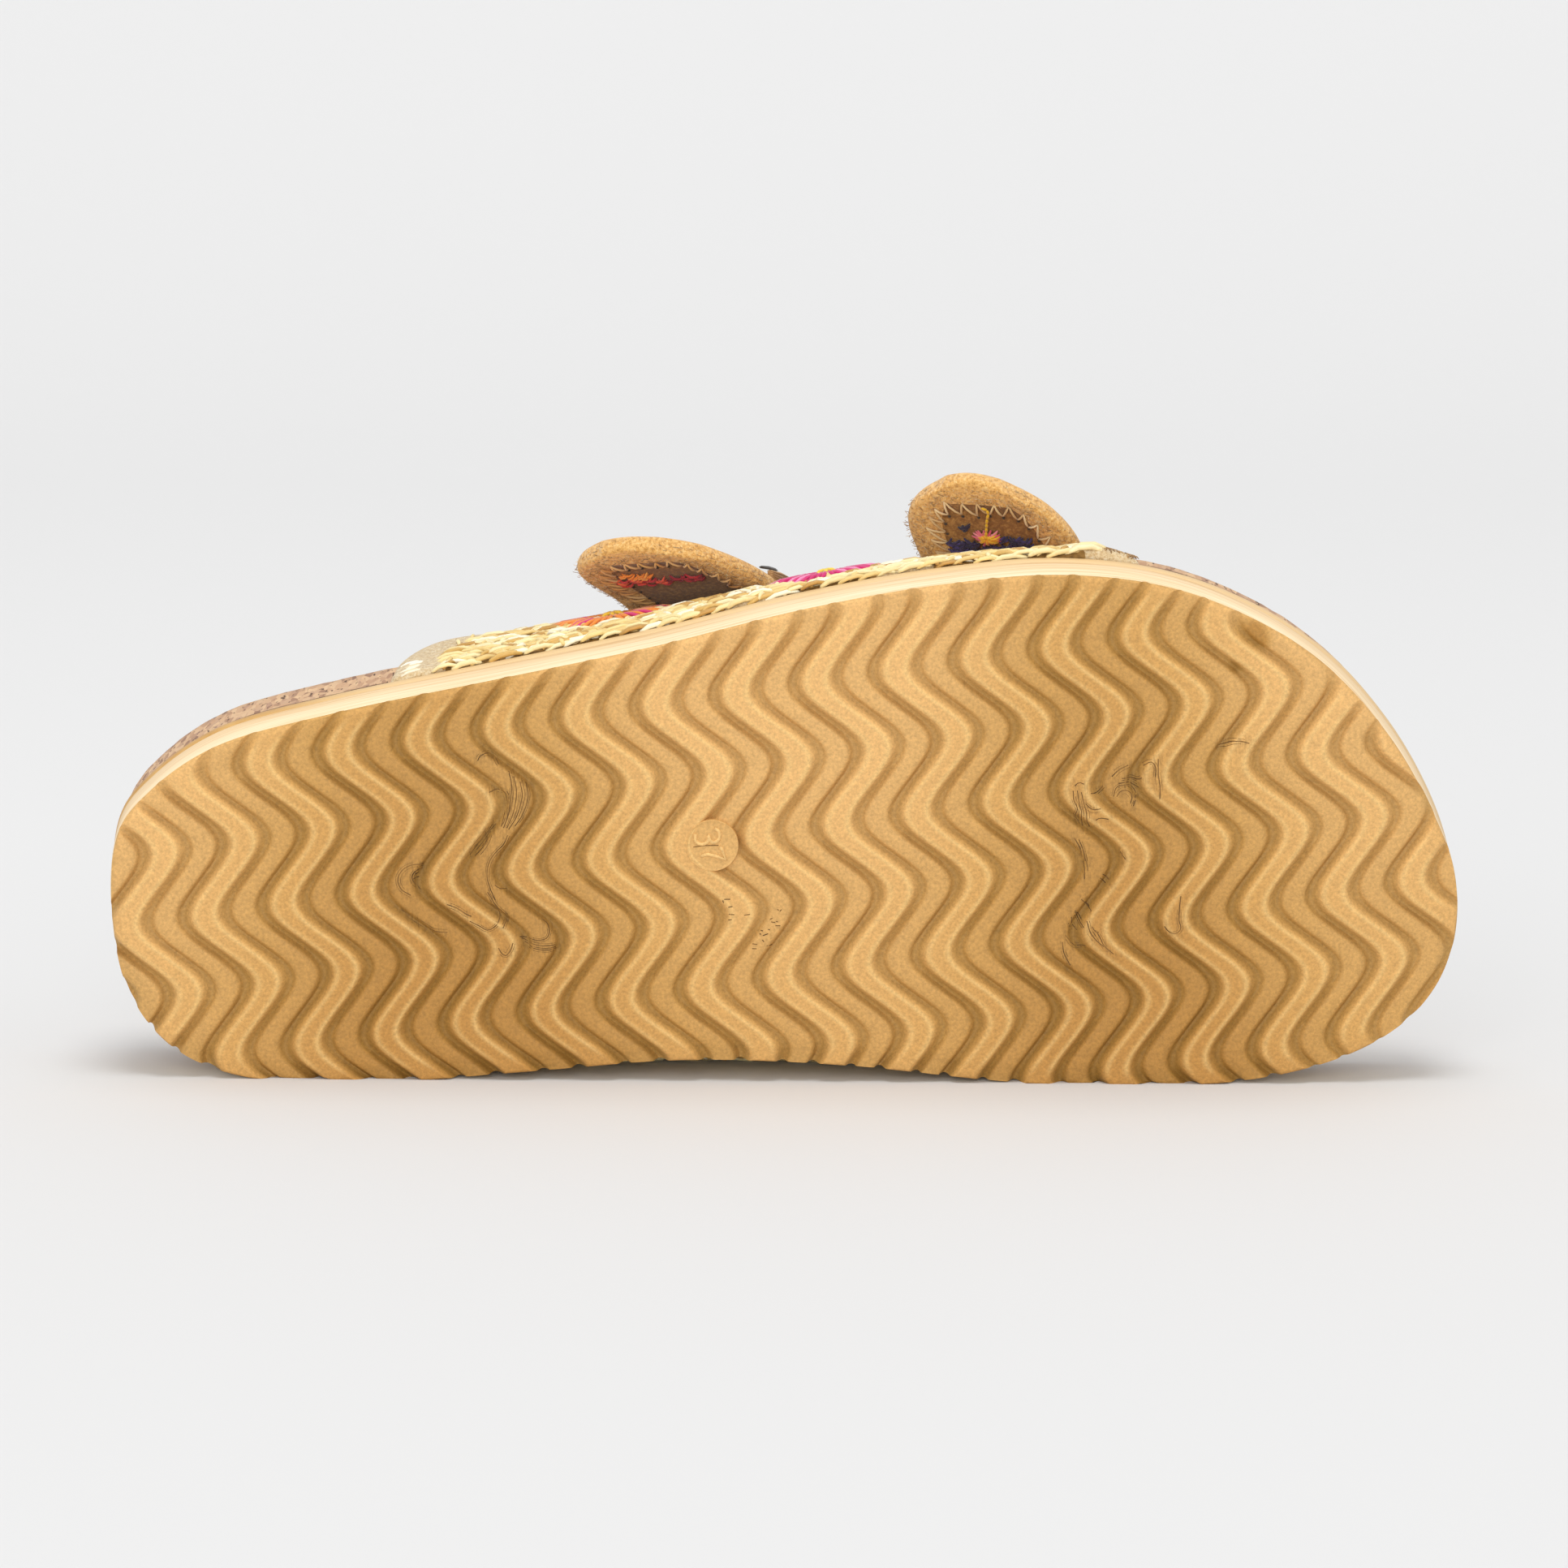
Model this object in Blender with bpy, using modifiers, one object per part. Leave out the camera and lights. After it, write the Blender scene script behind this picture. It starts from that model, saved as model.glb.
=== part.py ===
"""Two-strap footbed mule, right shoe, lying on its medial side.

The shoe is designed upright in millimetres: x from heel to toe, y towards the medial side,
z up from the ground. One empty then lays it on its side, on its sole edge and its upper.
"""
import math

import bmesh
import bpy
import numpy as np
from mathutils import Matrix, Vector

MM = 0.001
GAP = 0.3

# Sole plan: edge of the tread at stations along the sole, from the heel's centre line.
SOLE_LENGTH = 250.0
HEEL_TIP_Y = 0.8
TOE_TIP_Y = 19.0
SOLE_PLAN = (
    # along, lateral, medial
    (2.3, -14.8, 15.0),
    (10.0, -24.0, 26.3),
    (22.0, -30.9, 32.3),
    (45.0, -35.5, 35.5),
    (75.0, -39.1, 36.0),
    (105.0, -42.7, 36.5),
    (135.0, -47.4, 40.4),
    (160.0, -49.6, 45.4),
    (180.0, -49.6, 48.8),
    (200.0, -45.7, 50.1),
    (217.0, -37.4, 49.4),
    (230.0, -26.6, 46.5),
    (240.0, -12.8, 41.2),
    (247.0, 2.6, 32.6),
)
END_ANGLE = 0.05
OUTSOLE_STATIONS = 44
FOOTBED_STATIONS = 32

# Foam outsole: thickness, rise of the tread at both ends, and the steps of its side.
FOAM_HEEL = 14.5
FOAM_TOE = 12.5
TOE_SPRING = 5.0
TOE_SPRING_START = 185.0
HEEL_BEVEL = 1.0
HEEL_BEVEL_END = 20.0
TREAD_CHAMFER = 0.6
TREAD_CHAMFER_RISE = 0.9
FOAM_FLARE = 0.5
LIP_RECESS = 0.6
LIP_HEIGHT = 2.2
LIP_SLOPE = 0.2

# Wave tread: pairs of a tall and a low rib, sized along the wave axis.
WAVE_TURN = math.radians(3.28)
RIB_PAIR = 14.9
TALL_RIB_EDGE = 133.2
WAVE_PERIOD = 27.4
WAVE_CORNER_ROW = 11.5
WAVE_SWING = 4.84
WAVE_POINT = 0.026
CORNER_SPREAD = 3.0
GROOVE_DEPTH = 2.3
LOW_RIB_DROP = 0.7
RIB_PROFILE = (
    # along from the tall rib's toe edge, depth
    (0.0, 0.0),
    (0.7, GROOVE_DEPTH),
    (2.9, GROOVE_DEPTH),
    (3.6, LOW_RIB_DROP),
    (7.5, LOW_RIB_DROP),
    (8.2, GROOVE_DEPTH),
    (10.5, GROOVE_DEPTH),
    (11.2, 0.0),
)
GROOVE_FLARE = 0.4
CUTTER_UNDER = 3.0
CUTTER_REACH = 70.0

# Cork footbed above the foam: rim on each side and depth of the hollow for the foot.
FOOTBED_RIM = (
    # along, lateral, medial, hollow
    (0.0, 17.0, 17.0, 8.0),
    (30.0, 17.0, 17.0, 9.0),
    (75.0, 16.0, 18.0, 9.0),
    (110.0, 14.0, 19.0, 8.0),
    (145.0, 11.5, 15.0, 5.5),
    (180.0, 10.0, 11.0, 4.0),
    (220.0, 8.5, 8.5, 3.0),
    (250.0, 8.0, 8.0, 2.5),
)
CORK_INSET = 0.3
RIM_ROUND = 1.5
HOLLOW_RUN = 17.0
CORK_SIDE_LEVELS = 3
COVER_START = 12.0
COVER_FULL = 4.0
FOOTBED_ACROSS = (0.0, 0.025, 0.07, 0.15, 0.3, 0.5, 0.7, 0.85, 0.93, 0.975, 1.0)
SOCK_THICKNESS = 1.4
SOCK_CLEAR = 0.4
SOCK_SKIP = 2

# Upper: sections across the last. Heights are from the ground, fullness is a side's exponent.
WALL = 2.4
BINDING = 3.6
WALL_PROUD = 0.8
WEAVE_RISE = 0.3
REAR_FLARE = 2.0
REAR_FLARE_END = 80.0
REAR_FLARE_RUN = 24.0
FLARE_GIRTH = 0.16
FLOOR_GIRTH = 0.6
SECTION_POINTS = 90
BULGE_POWER = 0.75
GIRTH_STEP = 0.01
LAST_SECTIONS = (
    # along, ridge_height, ridge_y, lateral_fullness, medial_fullness, medial_bulge
    (50.0, 84.0, 3.0, 2.8, 2.7, 5.0),
    (80.0, 80.0, 5.0, 2.5, 2.7, 6.5),
    (110.0, 73.0, 7.0, 2.2, 2.6, 7.0),
    (140.0, 65.0, 9.0, 2.05, 2.5, 5.5),
    (170.0, 57.0, 11.0, 1.97, 2.4, 4.0),
    (205.0, 47.0, 13.0, 1.9, 2.3, 3.0),
)
# Edges of the rear and front straps, by share of the girth: 0 lateral base, 1 medial base.
STRAP_LAYOUT = (
    # girth, rear_back, rear_front, front_back, front_front
    (1.00, 56.0, 128.0, 146.0, 203.0),
    (0.92, 59.0, 127.5, 148.0, 197.0),
    (0.84, 68.0, 127.0, 151.0, 194.5),
    (0.76, 83.0, 127.0, 154.0, 192.5),
    (0.68, 94.0, 128.0, 156.0, 191.5),
    (0.58, 99.0, 130.0, 158.0, 191.0),
    (0.46, 101.0, 132.0, 160.0, 191.0),
    (0.25, 101.0, 132.0, 159.0, 190.5),
)
QUARTER_LAYOUT = (
    # girth, rear_back, rear_front, front_back, front_front
    (0.000, 55.0, 128.0, 148.0, 197.0),
    (0.080, 58.0, 129.0, 150.0, 193.0),
    (0.160, 69.0, 131.0, 155.0, 191.0),
    (0.235, 100.0, 132.0, 159.0, 190.5),
)
STRAP_NOTCH = 0.80
QUARTER_NOTCH = 0.13
NOTCH_DIP = 0.015
STRAP_ROWS = 20
QUARTER_ROWS = 10
BINDING_WIDTH = 3.8
BINDING_STEP = 1.2
BINDING_SHARE = 0.28
STEP_SHARE = 0.36
PANEL_CELLS = 5
WEB_CELLS = 3
STRAP_LIFT = 4.0
LIFT_FULL = 0.32
LIFT_START = 0.46

# Strap tails past the buckles: length, splay away from the wall, and lean towards the heel.
TAIL_LENGTH = 32.0
TAIL_ROUND = 15.0
TAIL_FULLNESS = 2.4
TAIL_TIP_WIDTH = 0.34
TAIL_STEPS = (0.16, 0.32, 0.48, 0.62, 0.75)
TAILS = {
    # name: splay in degrees, lean towards the heel per millimetre
    "rear": (2.0, 0.48),
    "front": (9.0, 0.30),
}

# Buckles: frame around the strap, from its pivot bar under the strap to its far bar over it.
FRAME_RADIUS = 1.3
FRAME_PIVOT = 0.25
FRAME_FAR = 0.385
FRAME_SIDE = 0.8
FRAME_POINTS = 20
FRAME_SQUARENESS = 0.25
FAR_BAR_CLEAR = 0.8
PIVOT_RISE = 0.1
PRONG_RADIUS = 0.9
PRONG_START = 0.29
PRONG_REST = 0.35
PRONG_OVER = 0.007
PRONG_END = 0.395

# Lying pose: lean from the sole edge to the upper, and depth of the flat spots on the floor.
LEAN = math.radians(5.0)
HEEL_BULGE_END = 100.0
BALL_BULGE_START = 150.0
FLAT_DEPTH = 0.5
PRESSED = 0.25
FLOOR_BLOCK = 400.0

COLOURS = {
    # name: red, green, blue, roughness, metallic
    "eva_foam": (0.58, 0.33, 0.09, 0.75, 0.0),
    "cork": (0.40, 0.26, 0.15, 0.85, 0.0),
    "suede_sock": (0.52, 0.36, 0.20, 0.95, 0.0),
    "raffia": (0.82, 0.62, 0.28, 0.70, 0.0),
    "buckle_metal": (0.10, 0.07, 0.05, 0.40, 1.0),
}


def smooth_table(knots, values, at):
    """Cubic through a table's values, with slopes from the neighbouring rows."""
    knots = np.asarray(knots, float)
    values = np.asarray(values, float)
    slopes = np.gradient(values, knots)
    at = np.clip(at, knots[0], knots[-1])
    row = np.clip(np.searchsorted(knots, at) - 1, 0, len(knots) - 2)
    span = knots[row + 1] - knots[row]
    t = (at - knots[row]) / span
    start = (1 + 2 * t) * (1 - t) ** 2 * values[row] + t * (1 - t) ** 2 * span * slopes[row]
    end = t * t * (3 - 2 * t) * values[row + 1] + t * t * (t - 1) * span * slopes[row + 1]
    return start + end


def column(table, index, at):
    return float(smooth_table([row[0] for row in table], [row[index] for row in table], at))


def smoothstep(low, high, value):
    t = min(max((value - low) / (high - low), 0.0), 1.0)
    return t * t * (3 - 2 * t)


def angle_at(along):
    return math.acos(min(max(1 - 2 * along / SOLE_LENGTH, -1.0), 1.0))


def plan_knots():
    """The plan as one closed curve: heel, lateral side, toe, medial side, heel."""
    lateral = [(angle_at(x), y) for x, y, _ in SOLE_PLAN]
    medial = [(2 * math.pi - angle_at(x), y) for x, _, y in reversed(SOLE_PLAN)]
    loop = [(0.0, HEEL_TIP_Y)] + lateral + [(math.pi, TOE_TIP_Y)] + medial
    before = [(a - 2 * math.pi, y) for a, y in loop[-2:]]
    after = [(a + 2 * math.pi, y) for a, y in loop[:2]]
    return np.array(before + loop + after)


PLAN = plan_knots()


def plan_y(angle):
    return float(smooth_table(PLAN[:, 0], PLAN[:, 1], angle))


def edge_y(along, side):
    angle = angle_at(along)
    return plan_y(angle if side == "lateral" else 2 * math.pi - angle)


def ring_point(angle, offset):
    """Point of the plan moved outwards by offset."""
    step = 0.004
    run = SOLE_LENGTH / 2 * math.sin(angle)
    rise = (plan_y(angle + step) - plan_y(angle - step)) / (2 * step)
    size = math.hypot(run, rise)
    along = SOLE_LENGTH / 2 * (1 - math.cos(angle))
    return along + offset * rise / size, plan_y(angle) - offset * run / size


def tread_z(along):
    toe = max(along - TOE_SPRING_START, 0.0) / (SOLE_LENGTH - TOE_SPRING_START)
    heel = max(HEEL_BEVEL_END - along, 0.0) / HEEL_BEVEL_END
    return TOE_SPRING * toe ** 2 + HEEL_BEVEL * heel ** 2


def foam_top(along):
    return tread_z(along) + FOAM_HEEL + (FOAM_TOE - FOAM_HEEL) * along / SOLE_LENGTH


def lying_rotation():
    """Lay the shoe on its medial side, level its two medial bulges, then lean it."""
    angles = np.linspace(math.pi, 2 * math.pi, 400)
    points = np.array([ring_point(a, 0.0) for a in angles])
    heel = points[points[:, 0] < HEEL_BULGE_END]
    ball = points[points[:, 0] > BALL_BULGE_START]
    slope = 0.0
    for _ in range(20):
        low = heel[np.argmax(heel[:, 1] - slope * heel[:, 0])]
        high = ball[np.argmax(ball[:, 1] - slope * ball[:, 0])]
        slope = (high[1] - low[1]) / (high[0] - low[0])
    on_side = Matrix.Rotation(-math.pi / 2, 3, "X")
    level = Matrix.Rotation(-math.atan(slope), 3, "Y")
    return Matrix.Rotation(LEAN, 3, "X") @ level @ on_side


LYING = lying_rotation()


def floor_height():
    """Height that puts the sole edge just under the floor, by the depth of its flat spots."""
    lowest = 0.0
    for angle in np.linspace(math.pi, 2 * math.pi, 400):
        x, y = ring_point(angle, 0.0)
        lowest = min(lowest, (LYING @ Vector((x, y, tread_z(x) + TREAD_CHAMFER_RISE))).z)
    return -lowest - FLAT_DEPTH


FLOOR_RISE = floor_height()


def floor_y(along, height):
    """Where the floor lies beside the shoe, at a station and a height of the upright shoe."""
    row = LYING[2]
    return -(row[0] * along + row[2] * height + FLOOR_RISE) / row[1]


def last_section(along):
    """Points across the upper's middle surface, lateral base to medial base, and their girth shares."""
    height = column(LAST_SECTIONS, 1, along)
    ridge = column(LAST_SECTIONS, 2, along)
    base = foam_top(along) + GAP
    inset = WALL_PROUD - WALL / 2
    turn = np.linspace(0.0, math.pi / 2, SECTION_POINTS)
    lateral_power = 2 / column(LAST_SECTIONS, 3, along)
    medial_power = 2 / column(LAST_SECTIONS, 4, along)
    rise = height - base
    lateral_width = ridge - (edge_y(along, "lateral") - inset)
    medial_width = edge_y(along, "medial") + inset - ridge
    lateral_z = np.sin(turn) ** lateral_power
    medial_z = np.sin(turn) ** medial_power
    bulge = column(LAST_SECTIONS, 5, along) * np.sin(math.pi * medial_z ** BULGE_POWER)
    lateral_y = ridge - lateral_width * np.cos(turn) ** lateral_power
    medial_y = ridge + medial_width * np.cos(turn) ** medial_power + bulge
    lateral = np.column_stack([lateral_y, base + rise * lateral_z])
    medial = np.column_stack([medial_y, base + rise * medial_z])
    points = np.vstack([lateral, medial[-2::-1]])
    share = np.concatenate([[0.0], np.cumsum(np.hypot(*np.diff(points, axis=0).T))])
    return points, share


SECTION_CACHE = {}


def surface(along, girth):
    key = round(along, 3)
    if key not in SECTION_CACHE:
        SECTION_CACHE[key] = last_section(along)
    points, share = SECTION_CACHE[key]
    at = girth * share[-1]
    return Vector((along, np.interp(at, share, points[:, 0]), np.interp(at, share, points[:, 1])))


def wall_y(along, side, height):
    """Upper's middle surface at a height, for the footbed that sits inside it."""
    points = last_section(along)[0]
    half = points[:SECTION_POINTS] if side == "lateral" else points[:SECTION_POINTS - 2:-1]
    return float(np.interp(height, half[:, 1], half[:, 0]))


def surface_frame(along, girth):
    """Outward normal, and the direction down the lateral wall."""
    low = max(girth - GIRTH_STEP, 0.0)
    high = min(girth + GIRTH_STEP, 1.0)
    across = surface(along, high) - surface(along, low)
    forward = surface(along + 1.0, girth) - surface(along - 1.0, girth)
    return forward.cross(across).normalized(), -across.normalized()


def strap_lift(girth):
    """How far the strap stands off the last to pass over the buckle bar and the quarter."""
    return STRAP_LIFT * (1 - smoothstep(LIFT_FULL, LIFT_START, girth))


def upper_point(along, girth, lift):
    """Middle surface of the upper: its rear edge flares, and the floor presses it flat."""
    normal, _ = surface_frame(along, girth)
    flare = REAR_FLARE * smoothstep(REAR_FLARE_END, REAR_FLARE_END - REAR_FLARE_RUN, along)
    flare *= min(min(girth, 1 - girth) / FLARE_GIRTH, 1.0)
    point = surface(along, girth) + normal * (lift + flare)
    if girth > FLOOR_GIRTH:
        point.y = min(point.y, floor_y(point.x, point.z) - WALL / 2 + PRESSED)
    return point


def new_object(name, mesh, material, group):
    item = bpy.data.objects.new(name, mesh)
    if material:
        mesh.materials.append(material)
    group.objects.link(item)
    return item


def finish_mesh(bm, name):
    bmesh.ops.recalc_face_normals(bm, faces=bm.faces)
    mesh = bpy.data.meshes.new(name)
    bm.to_mesh(mesh)
    bm.free()
    mesh.shade_smooth()
    mesh.set_sharp_from_angle(angle=math.radians(40))
    return mesh


def add_loft(bm, lengths, around, point):
    """Closed loft: a grid wrapped round its sections, with both ends filled."""
    made = bmesh.ops.create_grid(bm, x_segments=lengths, y_segments=around, size=1.0)["verts"]
    for vert in made:
        i = round((vert.co.x + 1) / 2 * lengths)
        j = round((vert.co.y + 1) / 2 * around)
        vert.co = Vector(point(i, j % around)) * MM
    bmesh.ops.remove_doubles(bm, verts=made, dist=1e-7)
    rim = [edge for edge in bm.edges if edge.is_boundary]
    bmesh.ops.holes_fill(bm, edges=rim, sides=0)


def station_angles(count):
    return np.linspace(END_ANGLE, math.pi - END_ANGLE, count + 1)


def side_angle(angle, side):
    return angle if side == "lateral" else 2 * math.pi - angle


def outsole_mesh():
    angles = station_angles(OUTSOLE_STATIONS)
    levels = ["chamfer", "edge", "wall", "recess", "top"]
    around = [("lateral", level) for level in levels] + [("medial", level) for level in reversed(levels)]

    def point(i, j):
        side, level = around[j]
        along = SOLE_LENGTH / 2 * (1 - math.cos(angles[i]))
        bottom, top = tread_z(along), foam_top(along)
        offset, z = {
            "chamfer": (-TREAD_CHAMFER, bottom),
            "edge": (0.0, bottom + TREAD_CHAMFER_RISE),
            "wall": (FOAM_FLARE, top - LIP_HEIGHT),
            "recess": (FOAM_FLARE - LIP_RECESS, top - LIP_HEIGHT + LIP_SLOPE),
            "top": (FOAM_FLARE - LIP_RECESS, top),
        }[level]
        x, y = ring_point(side_angle(angles[i], side), offset)
        return x, y, z

    bm = bmesh.new()
    add_loft(bm, OUTSOLE_STATIONS, len(around), point)
    return finish_mesh(bm, "outsole")


def wave_offset(across):
    phase = 2 * math.pi * (across - WAVE_CORNER_ROW) / WAVE_PERIOD
    bend = (math.cos(phase) + WAVE_POINT * math.cos(3 * phase)) / (1 + WAVE_POINT)
    return WAVE_SWING * (bend - 1)


def wave_stations():
    """Places across the sole where a rib bends: both ends of each rounded corner."""
    half = WAVE_PERIOD / 2
    first = math.ceil((-CUTTER_REACH - WAVE_CORNER_ROW) / half)
    last = math.floor((CUTTER_REACH - WAVE_CORNER_ROW) / half)
    corners = [WAVE_CORNER_ROW + half * k for k in range(first, last + 1)]
    return [c + step for c in corners for step in (-CORNER_SPREAD, CORNER_SPREAD)]


def tread_cutter_mesh():
    """All grooves of the wave tread, one block for each pair of ribs."""
    bm = bmesh.new()
    stations = wave_stations()
    mouth_start = (RIB_PROFILE[0][0] - GROOVE_FLARE, -CUTTER_UNDER)
    mouth_end = (RIB_PROFILE[-1][0] + GROOVE_FLARE, -CUTTER_UNDER)
    outline = [mouth_start, *RIB_PROFILE, mouth_end]
    first_pair = math.floor(-TALL_RIB_EDGE / RIB_PAIR) - 1
    last_pair = math.ceil((SOLE_LENGTH - TALL_RIB_EDGE) / RIB_PAIR)
    for pair in range(first_pair, last_pair + 1):
        start = TALL_RIB_EDGE + RIB_PAIR * pair

        def point(i, j):
            across = stations[i]
            along_wave = start + outline[j][0] + wave_offset(across)
            x = along_wave * math.cos(WAVE_TURN) - across * math.sin(WAVE_TURN)
            lateral = along_wave * math.sin(WAVE_TURN) + across * math.cos(WAVE_TURN)
            return x, -lateral, tread_z(x) + outline[j][1]

        add_loft(bm, len(stations) - 1, len(outline), point)
    return finish_mesh(bm, "tread_cutter")


def footbed_rim(along, share):
    lateral = column(FOOTBED_RIM, 1, along)
    return foam_top(along) + lateral + (column(FOOTBED_RIM, 2, along) - lateral) * share


def footbed_side(angle, side, height):
    """Cork side: flush with the foam at heel and toe, inside the upper's wall between them."""
    along = SOLE_LENGTH / 2 * (1 - math.cos(angle))
    x, y = ring_point(side_angle(angle, side), -CORK_INSET)
    layout = QUARTER_LAYOUT[0] if side == "lateral" else STRAP_LAYOUT[0]
    covered = smoothstep(layout[1] - COVER_START, layout[1] - COVER_FULL, along)
    covered *= 1 - smoothstep(layout[4] + COVER_FULL, layout[4] + COVER_START, along)
    if covered == 0.0:
        return x, y
    sign = -1 if side == "lateral" else 1
    inner = wall_y(along, side, height) - sign * (BINDING / 2 + WEAVE_RISE + GAP)
    if side == "medial":
        inner = min(inner, floor_y(along, height) - BINDING)
    return x, y + (inner - y) * covered


def footbed_top(angle, share):
    """Top of the footbed between its two rims."""
    along = SOLE_LENGTH / 2 * (1 - math.cos(angle))
    lateral = footbed_side(angle, "lateral", footbed_rim(along, 0) - RIM_ROUND)
    medial = footbed_side(angle, "medial", footbed_rim(along, 1) - RIM_ROUND)
    x = lateral[0] + (medial[0] - lateral[0]) * share
    y = lateral[1] + (medial[1] - lateral[1]) * share
    reach = min(min(share, 1 - share) * (medial[1] - lateral[1]), along, SOLE_LENGTH - along)
    hollow = column(FOOTBED_RIM, 3, along) * smoothstep(0.0, HOLLOW_RUN, reach)
    corner = RIM_ROUND if share in (0.0, 1.0) else 0.0
    return x, y, footbed_rim(along, share) - hollow - corner


def footbed_mesh():
    angles = station_angles(FOOTBED_STATIONS)
    sides = [("lateral", k) for k in range(CORK_SIDE_LEVELS)]
    top = [("top", share) for share in FOOTBED_ACROSS]
    around = sides + top + [("medial", k) for k in reversed(range(CORK_SIDE_LEVELS))]

    def point(i, j):
        kind, value = around[j]
        if kind == "top":
            return footbed_top(angles[i], value)
        along = SOLE_LENGTH / 2 * (1 - math.cos(angles[i]))
        low = foam_top(along) + GAP
        high = footbed_rim(along, 0 if kind == "lateral" else 1) - RIM_ROUND
        z = low + (high - low) * value / CORK_SIDE_LEVELS
        return (*footbed_side(angles[i], kind, z), z)

    bm = bmesh.new()
    add_loft(bm, FOOTBED_STATIONS, len(around), point)
    return finish_mesh(bm, "footbed")


def add_sheet(bm, columns, rows, point, open_cell=None):
    """Open grid moved to a surface, without its open cells. Returns its vertices by column and row."""
    bmesh.ops.create_grid(bm, x_segments=columns, y_segments=rows, size=1.0)

    def place(co):
        return (co.x + 1) / 2 * columns, (co.y + 1) / 2 * rows

    if open_cell:
        spare = [f for f in bm.faces if open_cell(*(int(k) for k in place(f.calc_center_median())))]
        bmesh.ops.delete(bm, geom=spare, context="FACES")
    places = {tuple(round(k) for k in place(vert.co)): vert for vert in bm.verts}
    for (i, j), vert in places.items():
        vert.co = Vector(point(i, j)) * MM
    return places


def insole_object(material, group):
    """Suede sock over the footbed, a constant step above the cork."""
    angles = station_angles(FOOTBED_STATIONS)[SOCK_SKIP:-SOCK_SKIP]
    shares = FOOTBED_ACROSS[1:-1]

    bm = bmesh.new()
    add_sheet(bm, len(angles) - 1, len(shares) - 1, lambda i, j: footbed_top(angles[i], shares[j]))
    bm.normal_update()
    step = (SOCK_CLEAR + SOCK_THICKNESS / 2) * MM
    for vert in bm.verts:
        vert.co += vert.normal * math.copysign(step, vert.normal.z)
    item = new_object("insole", finish_mesh(bm, "insole"), material, group)
    wall = item.modifiers.new("thickness", "SOLIDIFY")
    wall.thickness = SOCK_THICKNESS * MM
    wall.offset = 0.0
    return item


def panel_places(back, front):
    """Columns across one strap or tab: binding, its step, the plaited panel, and the same again."""
    width = front - back
    outer = min(BINDING_WIDTH, BINDING_SHARE * width)
    inner = min(BINDING_WIDTH + BINDING_STEP, STEP_SHARE * width)
    panel = np.linspace(back + inner, front - inner, PANEL_CELLS + 1)
    return [back, back + outer, *panel, front - outer, front]


PANEL_COLUMNS = PANEL_CELLS + 4
ALL_COLUMNS = 2 * PANEL_COLUMNS + WEB_CELLS


def row_places(edges):
    """Columns across the whole upper: rear panel, web between the straps, front panel."""
    rear = panel_places(edges[0], edges[1])
    web = np.linspace(edges[1], edges[2], WEB_CELLS + 1)[1:-1]
    return [*rear, *web, *panel_places(edges[2], edges[3])]


def in_web(i):
    return PANEL_COLUMNS < i < PANEL_COLUMNS + WEB_CELLS


def panel_column(i):
    return i if i <= PANEL_COLUMNS else i - PANEL_COLUMNS - WEB_CELLS


def weave(i, j):
    """Over and under of the plaited strips, on the panel inside the binding."""
    plaited = not in_web(i) and 2 <= panel_column(i) <= PANEL_COLUMNS - 2
    return WEAVE_RISE * (1 if (i + j) % 2 else -1) if plaited else 0.0


def tail_scale(u):
    past = max(u - (TAIL_LENGTH - TAIL_ROUND), 0.0) / TAIL_ROUND
    return max(math.sqrt(max(1 - past ** TAIL_FULLNESS, 0.0)), TAIL_TIP_WIDTH)


def tail_point(i, u, rise):
    """Strap tail past the buckle: leaves the wall along its slope, splayed and leaning to the heel."""
    pivot = STRAP_LAYOUT[-1]
    name, back, front = ("rear", *pivot[1:3]) if i <= PANEL_COLUMNS else ("front", *pivot[3:5])
    splay, heelward = TAILS[name]
    middle = (back + front) / 2
    half = (front - back) / 2 * tail_scale(u)
    along = middle if in_web(i) else panel_places(middle - half, middle + half)[panel_column(i)]
    normal, down = surface_frame(middle, pivot[0])
    turn = math.radians(splay)
    way = down * math.cos(turn) + normal * math.sin(turn) - Vector((heelward, 0, 0))
    return upper_point(along, pivot[0], STRAP_LIFT) + way * u + normal * rise


def upper_mesh(name, layout, rows, notch, tail_steps):
    """One wall with two straps or tabs, open between them above the notch."""
    girths = np.linspace(layout[0][0], layout[-1][0], rows + 1)
    tail = [step * TAIL_LENGTH for step in tail_steps]
    if tail:
        tail += [TAIL_LENGTH - BINDING_WIDTH - BINDING_STEP, TAIL_LENGTH - BINDING_WIDTH, TAIL_LENGTH]
    total = rows + len(tail)
    order = sorted(layout)
    edges = [[column(order, k, girth) for k in (1, 2, 3, 4)] for girth in girths]
    upward = 1 if layout[-1][0] > layout[0][0] else -1
    web_top = max(j for j in range(rows + 1) if (notch - girths[j]) * upward >= 0)
    plain_rows = 2 if tail else 1

    def point(i, j):
        rise = weave(i, j) if 0 < j < total - plain_rows else 0.0
        if j > rows:
            return tail_point(i, tail[j - rows - 1], rise)
        girth = girths[j]
        if in_web(i) and j == web_top:
            girth -= upward * NOTCH_DIP
        lift = strap_lift(girth) if tail else 0.0
        return upper_point(row_places(edges[j])[i], girth, lift + rise)

    def open_cell(i, j):
        return PANEL_COLUMNS <= i < PANEL_COLUMNS + WEB_CELLS and j >= web_top

    def bound(i, j):
        outer = i <= 1 or i >= ALL_COLUMNS - 1
        inner = PANEL_COLUMNS - 1 <= i <= PANEL_COLUMNS + WEB_CELLS + 1 and j >= web_top
        return outer or inner or j > total - plain_rows

    bm = bmesh.new()
    layer = bm.verts.layers.deform.verify()
    places = add_sheet(bm, ALL_COLUMNS, total, point, open_cell)
    for (i, j), vert in places.items():
        vert[layer][0] = 1.0 if bound(i, j) else WALL / BINDING
    return finish_mesh(bm, name)


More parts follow.
